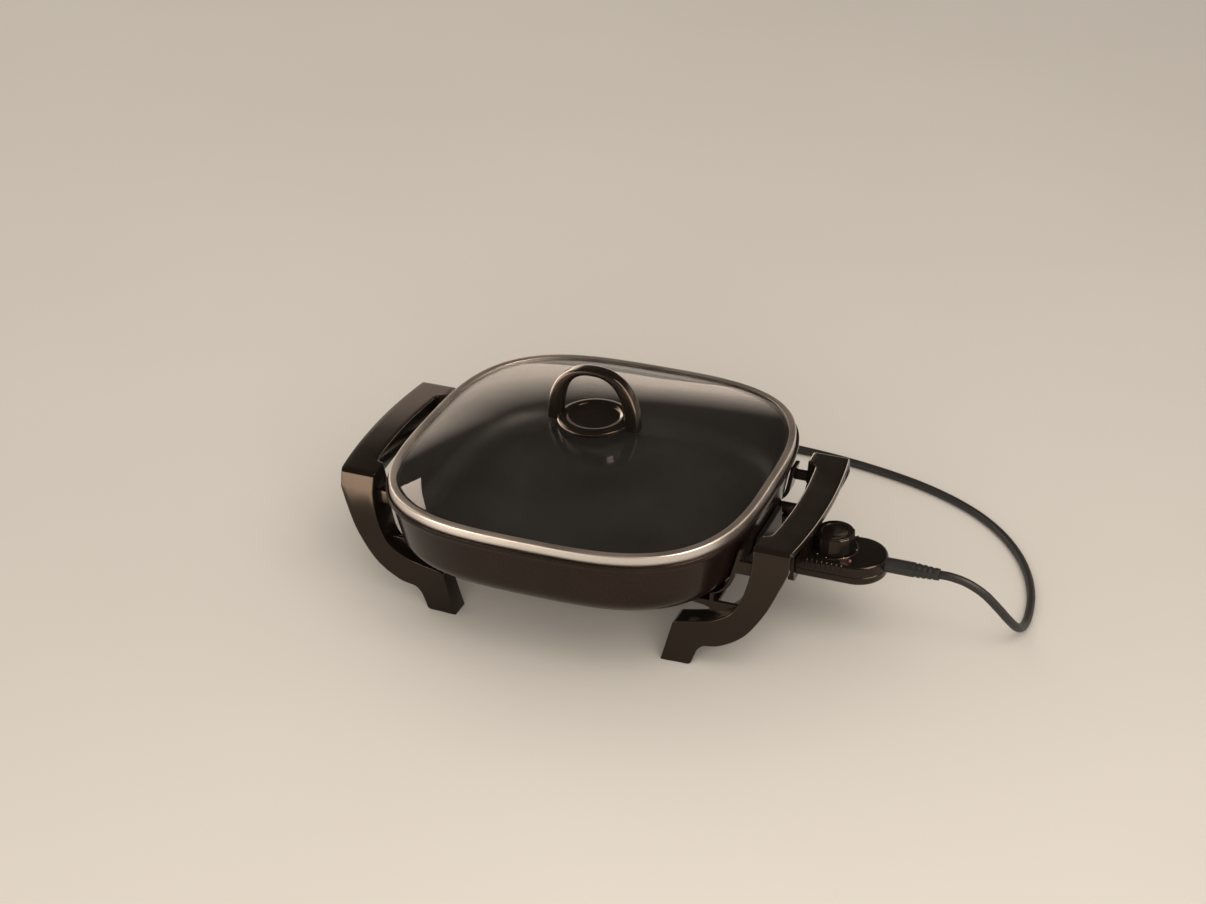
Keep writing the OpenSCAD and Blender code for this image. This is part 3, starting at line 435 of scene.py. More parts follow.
def red_lens():
    """Red plastic over the pilot lamp, moulded in small cells."""
    s = Shader("red_lens")
    cells = s.add("TexVoronoi", {"Vector": s.place(), "Scale": 1800}).outputs["Distance"]
    return s.principled(
        Base_Color=s.tone(cells, (0.030, 0.006, 0.004), (0.085, 0.011, 0.008)),
        Roughness=0.12,
        Normal=s.bump(cells, 0.25, 0.0002),
        Coat_Weight=0.6,
    )


def rubber(name, color, roughness):
    """Rubber or soft PVC: matt, with a fine skin and faint scuffs."""
    gloss = (roughness * 0.8, roughness * 1.2)
    return mottled(name, (45, 4, 0.65), shades(color, 0.22), gloss, (1600, 0.12))


def pale_floor():
    s = Shader("pale_floor")
    return s.principled(
        Base_Color=s.tone(s.noise(s.place(), 1.6, 3), (0.610, 0.560, 0.500), (0.640, 0.590, 0.528)),
        Roughness=0.9,
        Specular_IOR_Level=0.0,
    )


phenolic = moulded("phenolic", (0.0080, 0.0058, 0.0044), 0.15, 0.03)
control_black = moulded("control_black", (0.0078, 0.0058, 0.0045), 0.19, 0.05)
guard_paint = moulded("guard_paint", (0.016, 0.015, 0.0145), 0.42, 0.25)
enamel_brown = enamel()
nonstick_grey = nonstick()
band_steel = brushed("band_steel", (0.70, 0.665, 0.63), 0.38, (900, 9000, 1), source="UV")
plated = brushed("plated_steel", (0.62, 0.62, 0.61), 0.30, (300, 300, 3000))
probe_steel = brushed("probe_steel", (0.66, 0.66, 0.67), 0.22, (60, 4000, 4000))
brass = brushed("brass", (0.72, 0.52, 0.24), 0.30, (200, 2500, 2500))
# Steel tube of the element, blued and browned by heat
sheath = mottled("heated_sheath", (30, 4, 0.6), ((0.075, 0.062, 0.055), (0.17, 0.155, 0.145)),
                 (0.38, 0.6), (1200, 0.15), Metallic=0.85)
ceramic = fired_ceramic()
glass = clear_glass()
silicone = rubber("silicone", (0.050, 0.047, 0.044), 0.6)
cord_sheath = rubber("cord_sheath", (0.0135, 0.0125, 0.0122), 0.5)
lens_material = red_lens()
print_material = mottled(
    "white_print", (2500, 3), ((0.50, 0.48, 0.45), (0.72, 0.70, 0.66)), (0.35, 0.55))


# -------- cord

CORD_D = 7.0
CORD_ROUTE = [
    (287, 0, 68.4), (296, 0, 68.4), (309, 1, 65), (322, 4, 56),
    (332, 9, 43), (340, 17, 28), (345, 28, 15), (347, 43, 6.5), (347, 62, 4), (343, 90, 4),
    (334, 119, 4), (320, 147, 4), (301, 173, 4), (277, 196, 4), (248, 215, 4),
    (215, 230, 4), (179, 241, 4), (141, 249, 4), (102, 254, 4), (62, 256, 4),
    (20, 256.5, 4.2), (-24, 256.5, 4.4),
]
TAIL_ROUTE = [(-24, 179.5, 11.5), (-12, 179.5, 11), (0, 179.5, 9.4), (8, 179.5, 9), (14, 179.5, 9)]
COIL_CENTRE = (-40, 218)
COIL_R = 38.5
COIL_LOW, COIL_HIGH = 4.4, 11.4
# Angles in degrees: where the coil starts and ends, and where it climbs onto its first turn
COIL_START, COIL_END, COIL_STEP = 90, 630, 30
CLIMB_START, CLIMB_END = 270, 450


def coil_turns():
    """One turn and a half: level, then a climb of one diameter, then level on top of the first."""
    points = []
    for angle in range(COIL_START, COIL_END + 1, COIL_STEP):
        climb = smooth_step((angle - CLIMB_START) / (CLIMB_END - CLIMB_START))
        x = COIL_CENTRE[0] + COIL_R * math.cos(math.radians(angle))
        y = COIL_CENTRE[1] + COIL_R * math.sin(math.radians(angle))
        points.append((x, y, COIL_LOW + (COIL_HIGH - COIL_LOW) * climb))
    return points


def add_cord():
    line = spline(CORD_ROUTE + coil_turns() + TAIL_ROUTE, 6)
    data = bpy.data.curves.new("cord", "CURVE")
    data.dimensions = "3D"
    data.bevel_depth = CORD_D / 2 * MM
    data.bevel_resolution = 6
    data.use_fill_caps = True
    run = data.splines.new("POLY")
    run.points.add(len(line) - 1)
    for point, place in zip(run.points, line):
        point.co = (*at(*place), 1)
    run.use_smooth = True
    data.materials.append(cord_sheath)
    cord = new_object("cord", data)
    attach(cord, "control")
    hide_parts("cord_lead", "cord_coil", "cord_tail")


add_cord()


# -------- pan, glass and band

RING_SIDES = 320
SQUARENESS = 3.2
CORNER_CROWDING = 3.4
WALL_LEAN = math.radians(11)
PAN_WALL = 3.0
PAN_CORNER_R = 20.0
FLOOR_RINGS = (4, 40, 80, 108, 118)
LIP_OUT = 2.4
LEDGE_Z = LIP_Z - 1.8
LIP_UNDER_Z = LEDGE_Z - 2.0
WALL_TOP_HALF = PAN_HALF - LIP_OUT
LIP_INNER_HALF = PAN_HALF - 1.5
CORNER_Z = PAN_BOTTOM + PAN_CORNER_R
FLOOR_HALF = (
    WALL_TOP_HALF
    - (LIP_UNDER_Z - CORNER_Z + PAN_CORNER_R * math.sin(WALL_LEAN)) * math.tan(WALL_LEAN)
    - PAN_CORNER_R * math.cos(WALL_LEAN)
)


def ring(half, power):
    """Points of a square with round sides and corners, crowded into its corners."""
    points = []
    for i in range(RING_SIDES):
        a = 360 * i / RING_SIDES
        a = math.radians(a + CORNER_CROWDING * math.sin(math.radians(4 * a)))
        c, s = abs(math.cos(a)), abs(math.sin(a))
        reach = half / (c ** power + s ** power) ** (1 / power)
        points.append((reach * math.cos(a), reach * math.sin(a)))
    return points


def loft(name, sections, closed, sharp):
    """A mesh through rings of (half-width, height, power), with UVs in metres around and across."""
    points = [(x, y, z) for half, z, power in sections for x, y in ring(half, power)]
    rows = len(sections)
    mesh = build_mesh(name, points, tube_faces(rows, RING_SIDES, closed), sharp)
    across = [0.0]
    for p, q in zip(sections, sections[1:] + sections[:1]):
        across.append(across[-1] + math.dist(p[:2], q[:2]) * MM)
    around = 8 * PAN_HALF * MM / RING_SIDES
    uv = mesh.uv_layers.new(name="UVMap").data
    for face in mesh.polygons:
        face_rows = [v // RING_SIDES for v in face.vertices]
        face_columns = [v % RING_SIDES for v in face.vertices]
        wrap_row = max(face_rows) - min(face_rows) > 1
        wrap_column = max(face_columns) - min(face_columns) > 1
        for loop, row, column in zip(face.loop_indices, face_rows, face_columns):
            row = rows if wrap_row and row == 0 else row
            column = RING_SIDES if wrap_column and column == 0 else column
            uv[loop].uv = (column * around, across[row])
    return mesh


def corner_arc(radius, start, end):
    """The round corner between the pan's floor and its wall."""
    return arc((FLOOR_HALF, CORNER_Z), radius, start, end, 14)


def add_pan():
    lean = math.degrees(WALL_LEAN)
    fillet = 0.9
    edge = 0.7
    outside = [(half, PAN_BOTTOM) for half in FLOOR_RINGS] + corner_arc(PAN_CORNER_R, -90, -lean)
    wall_foot = outside[-1]
    wall_head = (WALL_TOP_HALF - fillet * math.tan(WALL_LEAN), LIP_UNDER_Z - fillet)
    outside += [lerp(wall_foot, wall_head, t) for t in (0.15, 0.4, 0.7, 0.9, 1)]
    outside += arc((WALL_TOP_HALF + fillet, LIP_UNDER_Z - fillet), fillet, 180 - lean, 90, 4)[1:]
    outside += arc((PAN_HALF - edge, LIP_UNDER_Z + edge), edge, -90, 0, 4)
    outside += arc((PAN_HALF - edge, LIP_Z - edge), edge, 0, 90, 4)
    lip = arc((LIP_INNER_HALF + edge, LIP_Z - edge), edge, 90, 180, 4)
    ledge = arc((LIP_INNER_HALF - fillet, LEDGE_Z + fillet), fillet, 0, -90, 4)
    inner_top = WALL_TOP_HALF - PAN_WALL
    ledge += [
        (inner_top + 1.4, LEDGE_Z), (inner_top + 0.5, LEDGE_Z - 0.3), (inner_top - 0.1, LEDGE_Z - 1.2),
    ]
    bowl = corner_arc(PAN_CORNER_R - PAN_WALL, -lean, -90)
    inner_wall = [lerp(ledge[-1], bowl[0], t) for t in (0.1, 0.35, 0.7, 0.92)]
    floor = [(half, PAN_BOTTOM + PAN_WALL) for half in reversed(FLOOR_RINGS)]
    profile = outside + lip + ledge + inner_wall + bowl + floor
    mesh = loft("pan_shell", [(half, z, SQUARENESS) for half, z in profile], closed=False, sharp=40)
    add_object("pan_shell", mesh, "base", enamel_brown, ("pan",))
    mesh.materials.append(nonstick_grey)
    # The coating starts in the fillet at the lip's foot
    first_coated = len(outside) + len(lip) + 2
    for face in mesh.polygons:
        if min(v // RING_SIDES for v in face.vertices) >= first_coated:
            face.material_index = 1


SEAT_GAP = 0.3
BAND_HALF = LIP_INNER_HALF - 0.8
BAND_T = 0.8
BAND_Z = LEDGE_Z + SEAT_GAP
BAND_TOP = node_box("lid_band")[1][2]
BAND_LIP = 5.5
# Radii of the corners of the band's section, in the order of the corners
BAND_RADII = (0.7, 0.9, 1.6, 0.35, 0.35, 0.5, 0.4, 0.3, 0.3, 0.3)
GLASS_T = 4.0
GLASS_HALF = BAND_HALF - BAND_T - SEAT_GAP
GLASS_TOP = BAND_TOP - BAND_T - SEAT_GAP
GLASS_UNDER = GLASS_TOP - GLASS_T
GLASS_EDGE_R = 1.0
MARGIN_HALF = GLASS_HALF - 6.0
DOME_RISE = node_box("lid_glass")[1][2] - GLASS_TOP
DOME_POWER = 2.1
HOLE_R = 3.5


def dome(half, margin_z):
    """Section of the dome at a half-width, over the height of its margin. It is round at the top."""
    share = min(half / MARGIN_HALF, 1)
    return half, margin_z + DOME_RISE * (1 - share ** DOME_POWER), 2 + (SQUARENESS - 2) * share ** 2


def add_glass():
    steps, crowding = 40, 1.5
    shares = [1 - (1 - i / steps) ** crowding for i in range(steps + 1)]
    halves = [HOLE_R + (MARGIN_HALF - HOLE_R) * share for share in shares]
    centre, edge = GLASS_HALF - GLASS_EDGE_R, GLASS_EDGE_R
    rim = arc((centre, GLASS_UNDER + edge), edge, -90, 0, 3)
    rim += arc((centre, GLASS_TOP - edge), edge, 0, 90, 3)
    sections = [dome(half, GLASS_UNDER) for half in halves]
    sections += [(half, z, SQUARENESS) for half, z in rim]
    sections += [dome(half, GLASS_TOP) for half in reversed(halves)]
    mesh = loft("lid_dome", sections, closed=True, sharp=60)
    lid = add_object("lid_dome", mesh, "lid", glass, ("lid_glass",))
    # Light reaches the pan straight through the glass
    lid.visible_shadow = False


def add_band():
    inner, under = BAND_HALF - BAND_LIP, GLASS_UNDER - SEAT_GAP
    corners = [
        (inner, BAND_Z), (BAND_HALF, BAND_Z), (BAND_HALF, BAND_TOP), (inner, BAND_TOP),
        (inner, BAND_TOP - BAND_T), (BAND_HALF - BAND_T, BAND_TOP - BAND_T),
        (BAND_HALF - BAND_T, BAND_Z + BAND_T), (inner + BAND_T, BAND_Z + BAND_T),
        (inner + BAND_T, under), (inner, under),
    ]
    sections = [(half, z, SQUARENESS) for half, z in rounded(corners, BAND_RADII)]
    mesh = loft("lid_rim", sections, closed=True, sharp=60)
    add_object("lid_rim", mesh, "lid", band_steel, ("lid_band",))


add_pan()
add_glass()
add_band()


# -------- knob

hoop_low, hoop_high = node_box("knob_hoop")
SADDLE_Z = hoop_low[2]
HOOP_HALF, HOOP_TOP = hoop_high[0], hoop_high[2]
HOOP_FOOT_T = 12.0
HOOP_CROWN_T = 5.4
HOOP_POWER = 2.4
HOOP_D = 11.5
HOOP_EDGE_R = 3.2
SADDLE_T = 2.4
SADDLE_R = 27.0
SADDLE_EDGE = 0.8
CAP_R = node_box("knob_cap")[1][0]
CAP_Z = SADDLE_Z + SADDLE_T
CAP_BOSS_R = 7.0
CAP_GAP = 0.05
# The cap's broad rim: distance in from its edge, and height. It falls away outwards.
CAP_RIM = [(3, 3.95), (4.5, 4.25), (6.5, 4.4), (7.1, 4.3), (8, 3.9)]
DISH_Z = 2.0
DISH_POWER = 12


def hoop_line(half, height, steps):
    """The upper half of a superellipse."""
    line = []
    for i in range(steps + 1):
        a = math.pi * i / steps
        c, s = math.cos(a), max(math.sin(a), 0)
        x = half * math.copysign(abs(c) ** (2 / HOOP_POWER), c)
        line.append((x, height * s ** (2 / HOOP_POWER)))
    return resample(line, steps)


def add_hoop():
    steps = 110
    height = HOOP_TOP - SADDLE_Z
    outer = hoop_line(HOOP_HALF, height, steps)
    inner = hoop_line(HOOP_HALF - HOOP_FOOT_T, height - HOOP_CROWN_T, steps)
    points = []
    for o, n in zip(outer, inner):
        thick = math.dist(o, n)
        corners = [(0, -HOOP_D / 2), (thick, -HOOP_D / 2), (thick, HOOP_D / 2), (0, HOOP_D / 2)]
        for depth, y in rounded(corners, [min(HOOP_EDGE_R, thick * 0.4)] * 4, 6):
            x, z = lerp(o, n, depth / thick)
            points.append((x, y, SADDLE_Z + z))
    mesh = build_mesh("knob_loop", points, tube_faces(steps + 1, len(points) // (steps + 1)), 60)
    add_object("knob_loop", mesh, "lid", phenolic, ("knob_hoop",))


def add_saddle():
    top = CAP_Z - CAP_GAP
    profile = [
        (CAP_BOSS_R, SADDLE_Z), (SADDLE_R - SADDLE_EDGE, SADDLE_Z), (SADDLE_R, SADDLE_Z + SADDLE_EDGE),
        (SADDLE_R, top), (CAP_BOSS_R, top),
    ]
    lathe("knob_saddle", profile, (0, 0), "lid", phenolic)


def add_cap():
    steps, centre_r, boss_edge, edge = 18, 0.4, 0.4, 1.6
    profile = [(centre_r, SADDLE_Z), (CAP_BOSS_R - boss_edge, SADDLE_Z), (CAP_BOSS_R, SADDLE_Z + boss_edge)]
    profile += [(CAP_BOSS_R, CAP_Z), (CAP_R - 3, CAP_Z)]
    profile += arc((CAP_R - edge, CAP_Z + 1.7), edge, -60, 66, 10)
    profile += [(CAP_R - inset, CAP_Z + height) for inset, height in CAP_RIM]
    dish_r, dish_edge_z = CAP_R - CAP_RIM[-1][0], CAP_RIM[-1][1]
    for i in range(1, steps + 1):
        share = 1 - (i / steps) ** 2
        height = DISH_Z + (dish_edge_z - DISH_Z) * share ** DISH_POWER
        profile.append((max(dish_r * share, centre_r), CAP_Z + height))
    lathe("knob_dish", profile, (0, 0), "lid", phenolic, ("knob_cap",), sides=160)


add_hoop()
add_saddle()
add_cap()


# -------- handles

GRIP_Z = LIP_Z - 5
GRIP_X = node_box("handle_right")[1][0]
GRIP_ARC_R = 488.0
RECESS_X = GRIP_X - 25.0
RECESS_ARC_R = 448.0
RECESS_Y = 58.0
RECESS_CORNER_R = 4.0
RECESS_TURN = 6.0
LEG_SPAN_HALF = 90.0
BEND_R = 5.0
BEND_CORE_R = 0.5
BEND_LEAN = 14.0
STRAP_INNER_X = PAN_HALF + 7.5
STRAP_T = 3.5
FLANGE_T = 3.0
FLANGE_DEPTH = 18.0
OUTER_LIP_DEPTH = 6.0
FOOT_INNER_X = PAN_HALF - 64
FOOT_W = 26.0
FOOT_CORNER_R = 4.0
HEEL_R = 4.0
WEB_INSET = 8.0
WEB_T = 3.0
RAIL_DEPTH = 14.0
RAIL_T = 3.6
RAIL_TOP = LIP_Z - 13
BRACE_H = 10.5
BRACE_TOP = LIP_Z - 22
TAB_T = 4.0
TAB_Z = PAN_BOTTOM - 9
TAB_X = (PAN_HALF - 60, PAN_HALF - 20)
TAB_Y = 58.0
# Ends of the lower brace's sloping underside
ARM_X = (node_box("handle_screws")[1][0] - 14.5, PAN_HALF - 24)
PAN_GAP = 0.5

# Side view of a leg as (height, distance from the middle), from below the bend to the table
LEG_LINE = [
    (LIP_Z - 22, LEG_SPAN_HALF - 7.5), (LIP_Z - 36, LEG_SPAN_HALF - 4.5), (LIP_Z - 45, LEG_SPAN_HALF - 3),
    (LIP_Z - 58, LEG_SPAN_HALF - 1.6), (0, LEG_SPAN_HALF),
]
# The bend ends on a straight line that leans down to the first of these points
LEAN = math.radians(BEND_LEAN)
BEND_END_Z = GRIP_Z - BEND_R * (1 - math.sin(LEAN))
BEND_END_Y = LEG_LINE[0][1] - (BEND_END_Z - LEG_LINE[0][0]) * math.tan(LEAN)
BEND_Y = BEND_END_Y - BEND_R * math.cos(LEAN)
# Rear edge of the inner flange in side view, as (distance from the middle, height)
REAR_CORNER = (58.5, GRIP_Z - FLANGE_DEPTH)
REAR_LINE = [(58.5, LIP_Z - 35), (71, 40), (LEG_SPAN_HALF - FLANGE_DEPTH, 0)]
REAR_FILLET = 3.0
# Down to this depth the flange follows the strap's face
COLLAR = 4.0
# The strap seen from the front, as (distance outwards from the lip, height above the lip)
STRAP_OUTER = [
    (37, -20.5), (31, -35), (20.5, -58), (4.5, -81), (-14.5, -94), (-28.5, -97.5), (-34, -103),
]
STRAP_INNER = [
    (7.7, -21), (5.5, -34.5), (1, -49), (-6.5, -62), (-20.5, -71), (-34.5, -75), (-53.5, -79),
]
# Steps along the strap in each of its stretches, from the middle of the grip to the foot
STRAP_STEPS = (26, 16, 4, 12, 5, 8, 12, 14, 10, 8, 8, 14)


def mean_slopes(knots):
    """A slope at each point of a line, as the mean of the slopes beside it."""
    slopes = [(b[1] - a[1]) / (b[0] - a[0]) for a, b in zip(knots, knots[1:])]
    return [slopes[0], *[(p + q) / 2 for p, q in zip(slopes, slopes[1:])], slopes[-1]]


LEG_KNOTS = [(BEND_END_Z, BEND_END_Y), *LEG_LINE]
LEG_SLOPES = mean_slopes(LEG_KNOTS)


def leg_y(z):
    """Distance of the leg's face from the middle, at a height below the bend."""
    for (z0, y0), (z1, y1), m0, m1 in zip(LEG_KNOTS, LEG_KNOTS[1:], LEG_SLOPES, LEG_SLOPES[1:]):
        if z >= z1:
            h, t = z1 - z0, (z - z0) / (z1 - z0)
            return (
                (2 * t ** 3 - 3 * t ** 2 + 1) * y0 + (t ** 3 - 2 * t ** 2 + t) * h * m0
                + (3 * t ** 2 - 2 * t ** 3) * y1 + (t ** 3 - t ** 2) * h * m1
            )
    return LEG_SPAN_HALF


def arch_table():
    """The strap's face in side view, from the middle of the grip to the table, as rows of
    (s, y, z, ny, nz): distance along the arch, place and outward normal."""
    line = [(y, GRIP_Z) for y in between(0, BEND_Y, 40)[:-1]]
    line += arc((BEND_Y, GRIP_Z - BEND_R), BEND_R, 90, BEND_LEAN, 24)
    line += [(leg_y(z), z) for z in between(line[-1][1], 0, 120)[1:]]
    table = []
    s = 0.0
    for i, (y, z) in enumerate(line):
        before, after = line[max(i - 1, 0)], line[min(i + 1, len(line) - 1)]
        dy, dz = after[0] - before[0], after[1] - before[1]
        size = math.hypot(dy, dz)
        if i:
            s += math.dist(line[i - 1], (y, z))
        table.append((s, y, z, -dz / size, dy / size))
    return table


ARCH = arch_table()
ARCH_END = ARCH[-1][0]
# Where the bend starts and ends along the arch
FLAT_END, BEND_END = BEND_Y, BEND_Y + BEND_R * math.radians(90 - BEND_LEAN)


def look_up(table, s):
    """The row of a table at a distance s, between the rows beside it."""
    s = min(max(s, table[0][0]), table[-1][0])
    low, high = 0, len(table) - 1
    while high - low > 1:
        middle = (low + high) // 2
        low, high = (middle, high) if table[middle][0] <= s else (low, middle)
    return lerp(table[low], table[high], (s - table[low][0]) / (table[high][0] - table[low][0]))


def at_height(line, k, z):
    """The place on a falling line where item k, its height, is z, or else the line's last point."""
    for p, q in zip(line, line[1:]):
        if p[k] >= z > q[k]:
            return lerp(p, q, (p[k] - z) / (p[k] - q[k]))
    return line[-1]


def arch_s(z):
    """Distance along the arch at which the leg has this height."""
    return at_height(ARCH, 2, z)[0]


def rear_table():
    """Rear edge of the inner flange in step with the strap's face, as rows of (s, y, z). Its
    fillet is spread over a stretch of the arch that starts 2 mm before the corner."""
    y, z = REAR_CORNER
    straight_end = y - 2 * REAR_FILLET
    turn = arc((y - REAR_FILLET, z - REAR_FILLET), REAR_FILLET, 90, 0, 8)
    turn_s = between(y - 2, arch_s(turn[-1][1]), 8)
    table = [(0, 0, z), (straight_end, straight_end, z)]
    table += [(s, *p) for s, p in zip(turn_s, turn)]
    return table + [(arch_s(p[1]), *p) for p in spline([turn[-1], *REAR_LINE], 8)[1:]]


REAR = rear_table()


def under_arch(x, s, depth):
    """The point at x and s on the strap's face, sunk by a depth, with a fillet in the bend."""
    s, y, z, ny, nz = look_up(ARCH, s)
    off_bend = max(FLAT_END - s, s - BEND_END, 0)
    depth = min(depth, BEND_R - BEND_CORE_R + off_bend / 2)
    return x, y - depth * ny, max(z - depth * nz, 0)


def under_flange(x, s, depth):
    """The same on the inner flange, which is as deep as its rear edge says."""
    x, y, z = under_arch(x, s, min(depth, COLLAR))
    share = max(depth - COLLAR, 0) / (FLANGE_DEPTH - COLLAR)
    rear_y, rear_z = look_up(REAR, s)[1:]
    return x, y + (rear_y - y) * share, z + (rear_z - z) * share


def circle_x(top_x, radius, y):
    return top_x - radius + math.sqrt(radius ** 2 - y ** 2)


def grip_edge(start, end):
    """The bowed outer edge of the grip, as points (x, s)."""
    return [(circle_x(GRIP_X, GRIP_ARC_R, look_up(ARCH, s)[1]), s) for s in between(start, end, 24)]


def recess_edge(start, end):
    """The bowed edge of the finger recess, as points (x, s)."""
    return [(circle_x(RECESS_X, RECESS_ARC_R, s), s) for s in between(start, end, 24)]


def leg_edge(line):
    """A smooth edge of the leg as points (x, s), from points of the front view."""
    return spline([(PAN_HALF + x, arch_s(LIP_Z + z)) for x, z in line], 8)


def strap_edges():
    """The strap's outer and inner edge as points (x, s), in step with each other."""
    knee = arch_s(BEND_END_Z)
    turn_in, turn_out = RECESS_Y - RECESS_TURN, RECESS_Y + RECESS_TURN
    r = RECESS_CORNER_R
    recess_end_x = circle_x(RECESS_X, RECESS_ARC_R, RECESS_Y)
    recess_end = recess_edge(turn_in, RECESS_Y - r)
    recess_end += arc((recess_end_x - r, RECESS_Y - r), r, 0, 90, 8)
    recess_end += arc((STRAP_INNER_X + r, RECESS_Y + r), r, -90, -180, 8)
    recess_end.append((STRAP_INNER_X, turn_out))
    outer_leg, inner_leg = leg_edge(STRAP_OUTER), leg_edge(STRAP_INNER)
    toe_x = FOOT_INNER_X + FOOT_W - FOOT_CORNER_R
    toe = arc((toe_x, ARCH_END - FOOT_CORNER_R), FOOT_CORNER_R, 0, 90, 8)
    foot_end = (FOOT_INNER_X, ARCH_END)
    # rounded() gives nine points for each corner, and the heel is the second
    heel = rounded([inner_leg[-9], inner_leg[-1], foot_end], [0, HEEL_R, 0], 8)[9:18]
    outer = [
        grip_edge(0, turn_in), grip_edge(turn_in, turn_out), grip_edge(turn_out, FLAT_END),
        grip_edge(FLAT_END, knee), [grip_edge(knee, knee)[0], outer_leg[0]],
        *spans(outer_leg, range(0, 49, 8)), [outer_leg[-1], *toe],
    ]
    inner = [
        recess_edge(0, turn_in), recess_end,
        [(STRAP_INNER_X, turn_out), (STRAP_INNER_X, FLAT_END)],
        [(STRAP_INNER_X, FLAT_END), (STRAP_INNER_X, knee)],
        [(STRAP_INNER_X, knee), inner_leg[0]],
        *spans(inner_leg, (0, 8, 16, 28, 36, 41)),
        [*inner_leg[41:46], *heel[:5]], [*heel[4:], foot_end],
    ]
    edges = []
    for stretches in (outer, inner):
        line = [stretches[0][0]]
        for stretch, count in zip(stretches, STRAP_STEPS):
            line += resample(stretch, count)[1:]
        edges.append(line)
    return edges


def edge_normals(edge, side):
    """Unit vectors from the edge into the strap."""
    normals = []
    for i in range(len(edge)):
        before, after = edge[max(i - 1, 0)], edge[min(i + 1, len(edge) - 1)]
        dx, ds = after[0] - before[0], after[1] - before[1]
        size = math.hypot(dx, ds)
        normals.append((side * ds / size, -side * dx / size))
    return normals


def strap_rim(depth):
    """One rim of the channel as (distance in from the edge, depth): from the fillet under the
    strap, round the rim, to the strap's face."""
    top, low, fillet, inward = 1.3, 0.9, 1.2, 12
    fillet_arc = [
        (FLANGE_T + fillet, STRAP_T), (FLANGE_T + 0.35 * fillet, STRAP_T + 0.35 * fillet),
        (FLANGE_T, STRAP_T + fillet),
    ]
    corners = [(FLANGE_T, STRAP_T), (FLANGE_T, depth), (0, depth), (0, 0), (inward, 0), (inward, STRAP_T)]
    # rounded() gives five points for each corner, and the rim has the second to the fourth
    return fillet_arc + rounded(corners, [0, low, low, top, 0, 0])[5:20]


def add_strap(name, replaced, mirror):
    def inset(place, normal, rim):
        return [(place[0] + normal[0] * off, place[1] + normal[1] * off, depth) for off, depth in rim]

    outer, inner = strap_edges()
    inner_rim, outer_rim = strap_rim(FLANGE_DEPTH), strap_rim(OUTER_LIP_DEPTH)[::-1]
    shares = between(0, 1, 7)[1:-1]
    half = []
    for o, n, into_o, into_n in zip(outer, inner, edge_normals(outer, -1), edge_normals(inner, 1)):
        flange, lip = inset(n, into_n, inner_rim), inset(o, into_o, outer_rim)
        face = [lerp(flange[-1], lip[0], t) for t in shares]
        back = [lerp(lip[-1], flange[0], t) for t in shares]
        half.append([under_flange(*p) for p in flange] + [under_arch(*p) for p in [*face, *lip, *back]])
    rows = [[(x, -y, z) for x, y, z in row] for row in half[:0:-1]] + half
    points = [(mirror * x, -y, z) for row in rows for x, y, z in row]
    mesh = build_mesh(name, points, tube_faces(len(rows), len(rows[0])), 50)
    add_object(name, mesh, "base", phenolic, (replaced,))


def pan_reach(z):
    """Half-width of the pan's outside at a height."""
    if z < CORNER_Z - PAN_CORNER_R * math.sin(WALL_LEAN):
        return FLOOR_HALF + math.sqrt(max(0, PAN_CORNER_R ** 2 - (CORNER_Z - z) ** 2))
    return WALL_TOP_HALF - (LIP_UNDER_Z - z) * math.tan(WALL_LEAN)


def pan_side_x(z, y):
    half = pan_reach(z)
    return half * (1 - (min(abs(y), half - 1) / half) ** SQUARENESS) ** (1 / SQUARENESS)


def web_y(z, inset):
    """Distance from the middle of a plate that lies at an inset behind the leg's face."""
    lean = math.atan((leg_y(z - 1) - leg_y(z + 1)) / 2)
    return leg_y(z) - inset / math.cos(lean)


def rail_x(z):
    """Where the rail meets the pan's wall, which goes straight down from 1 mm above the floor."""
    wall_z = max(z, PAN_BOTTOM + 1)
    return pan_side_x(wall_z, web_y(wall_z, WEB_INSET + RAIL_DEPTH)) + PAN_GAP


def strap_x(z):
    """A place 1 mm inside the strap's inner flange at a height."""
    return PAN_HALF + at_height(STRAP_INNER, 1, z - LIP_Z)[0] + 1


def lower_arm(z):
    """Ends of the lower brace, whose underside curves down from the tab to the strap."""
    top = TAB_Z + TAB_T
    rise = 1 - (top - z) / BRACE_H
    slope = min((top - z) / (BRACE_H - TAB_T), 1)
    share = slope if slope > 0.6 else slope ** 2
    return ARM_X[0] + (ARM_X[1] - ARM_X[0]) * share, PAN_HALF - 4 + 3 * rise


def plate(ends, depth, levels):
    """Points of a plate behind the leg, which follows the leg's lean: ends(z) gives its left and
    right end at each of its levels."""
    points = []
    for z in levels:
        left, right = ends(z)
        front, back = web_y(z, WEB_INSET), web_y(z, WEB_INSET + depth)
        points += [(left, front, z), (right, front, z), (right, back, z), (left, back, z)]
    return points


def add_braces(name, mirror):
    """Behind each leg a rail along the pan, two braces from it to the strap, and the screwed tab."""
    lower = between(TAB_Z + TAB_T - BRACE_H, TAB_Z + TAB_T, 4)
    upper = between(BRACE_TOP - BRACE_H, BRACE_TOP, 4)
    tab_y = web_y(TAB_Z, WEB_INSET) - 1
    parts = [
        plate(lambda z: (rail_x(z), rail_x(z) + RAIL_T), RAIL_DEPTH, between(lower[0], RAIL_TOP, 24)),
        plate(lambda z: (rail_x(z) + 2, strap_x(z)), WEB_T, upper),
        plate(lower_arm, WEB_T, lower),
        [(x, y, z) for z in (TAB_Z, TAB_Z + TAB_T)
         for x, y in ((TAB_X[0], TAB_Y), (TAB_X[1], TAB_Y), (TAB_X[1], tab_y), (TAB_X[0], tab_y))],
    ]
    tubes = [[(mirror * x, side * y, z) for x, y, z in part] for side in (1, -1) for part in parts]
    mesh = build_mesh(name, *join_tubes(tubes, 4), 30)
    soften(add_object(name, mesh, "base", phenolic), 0.7)


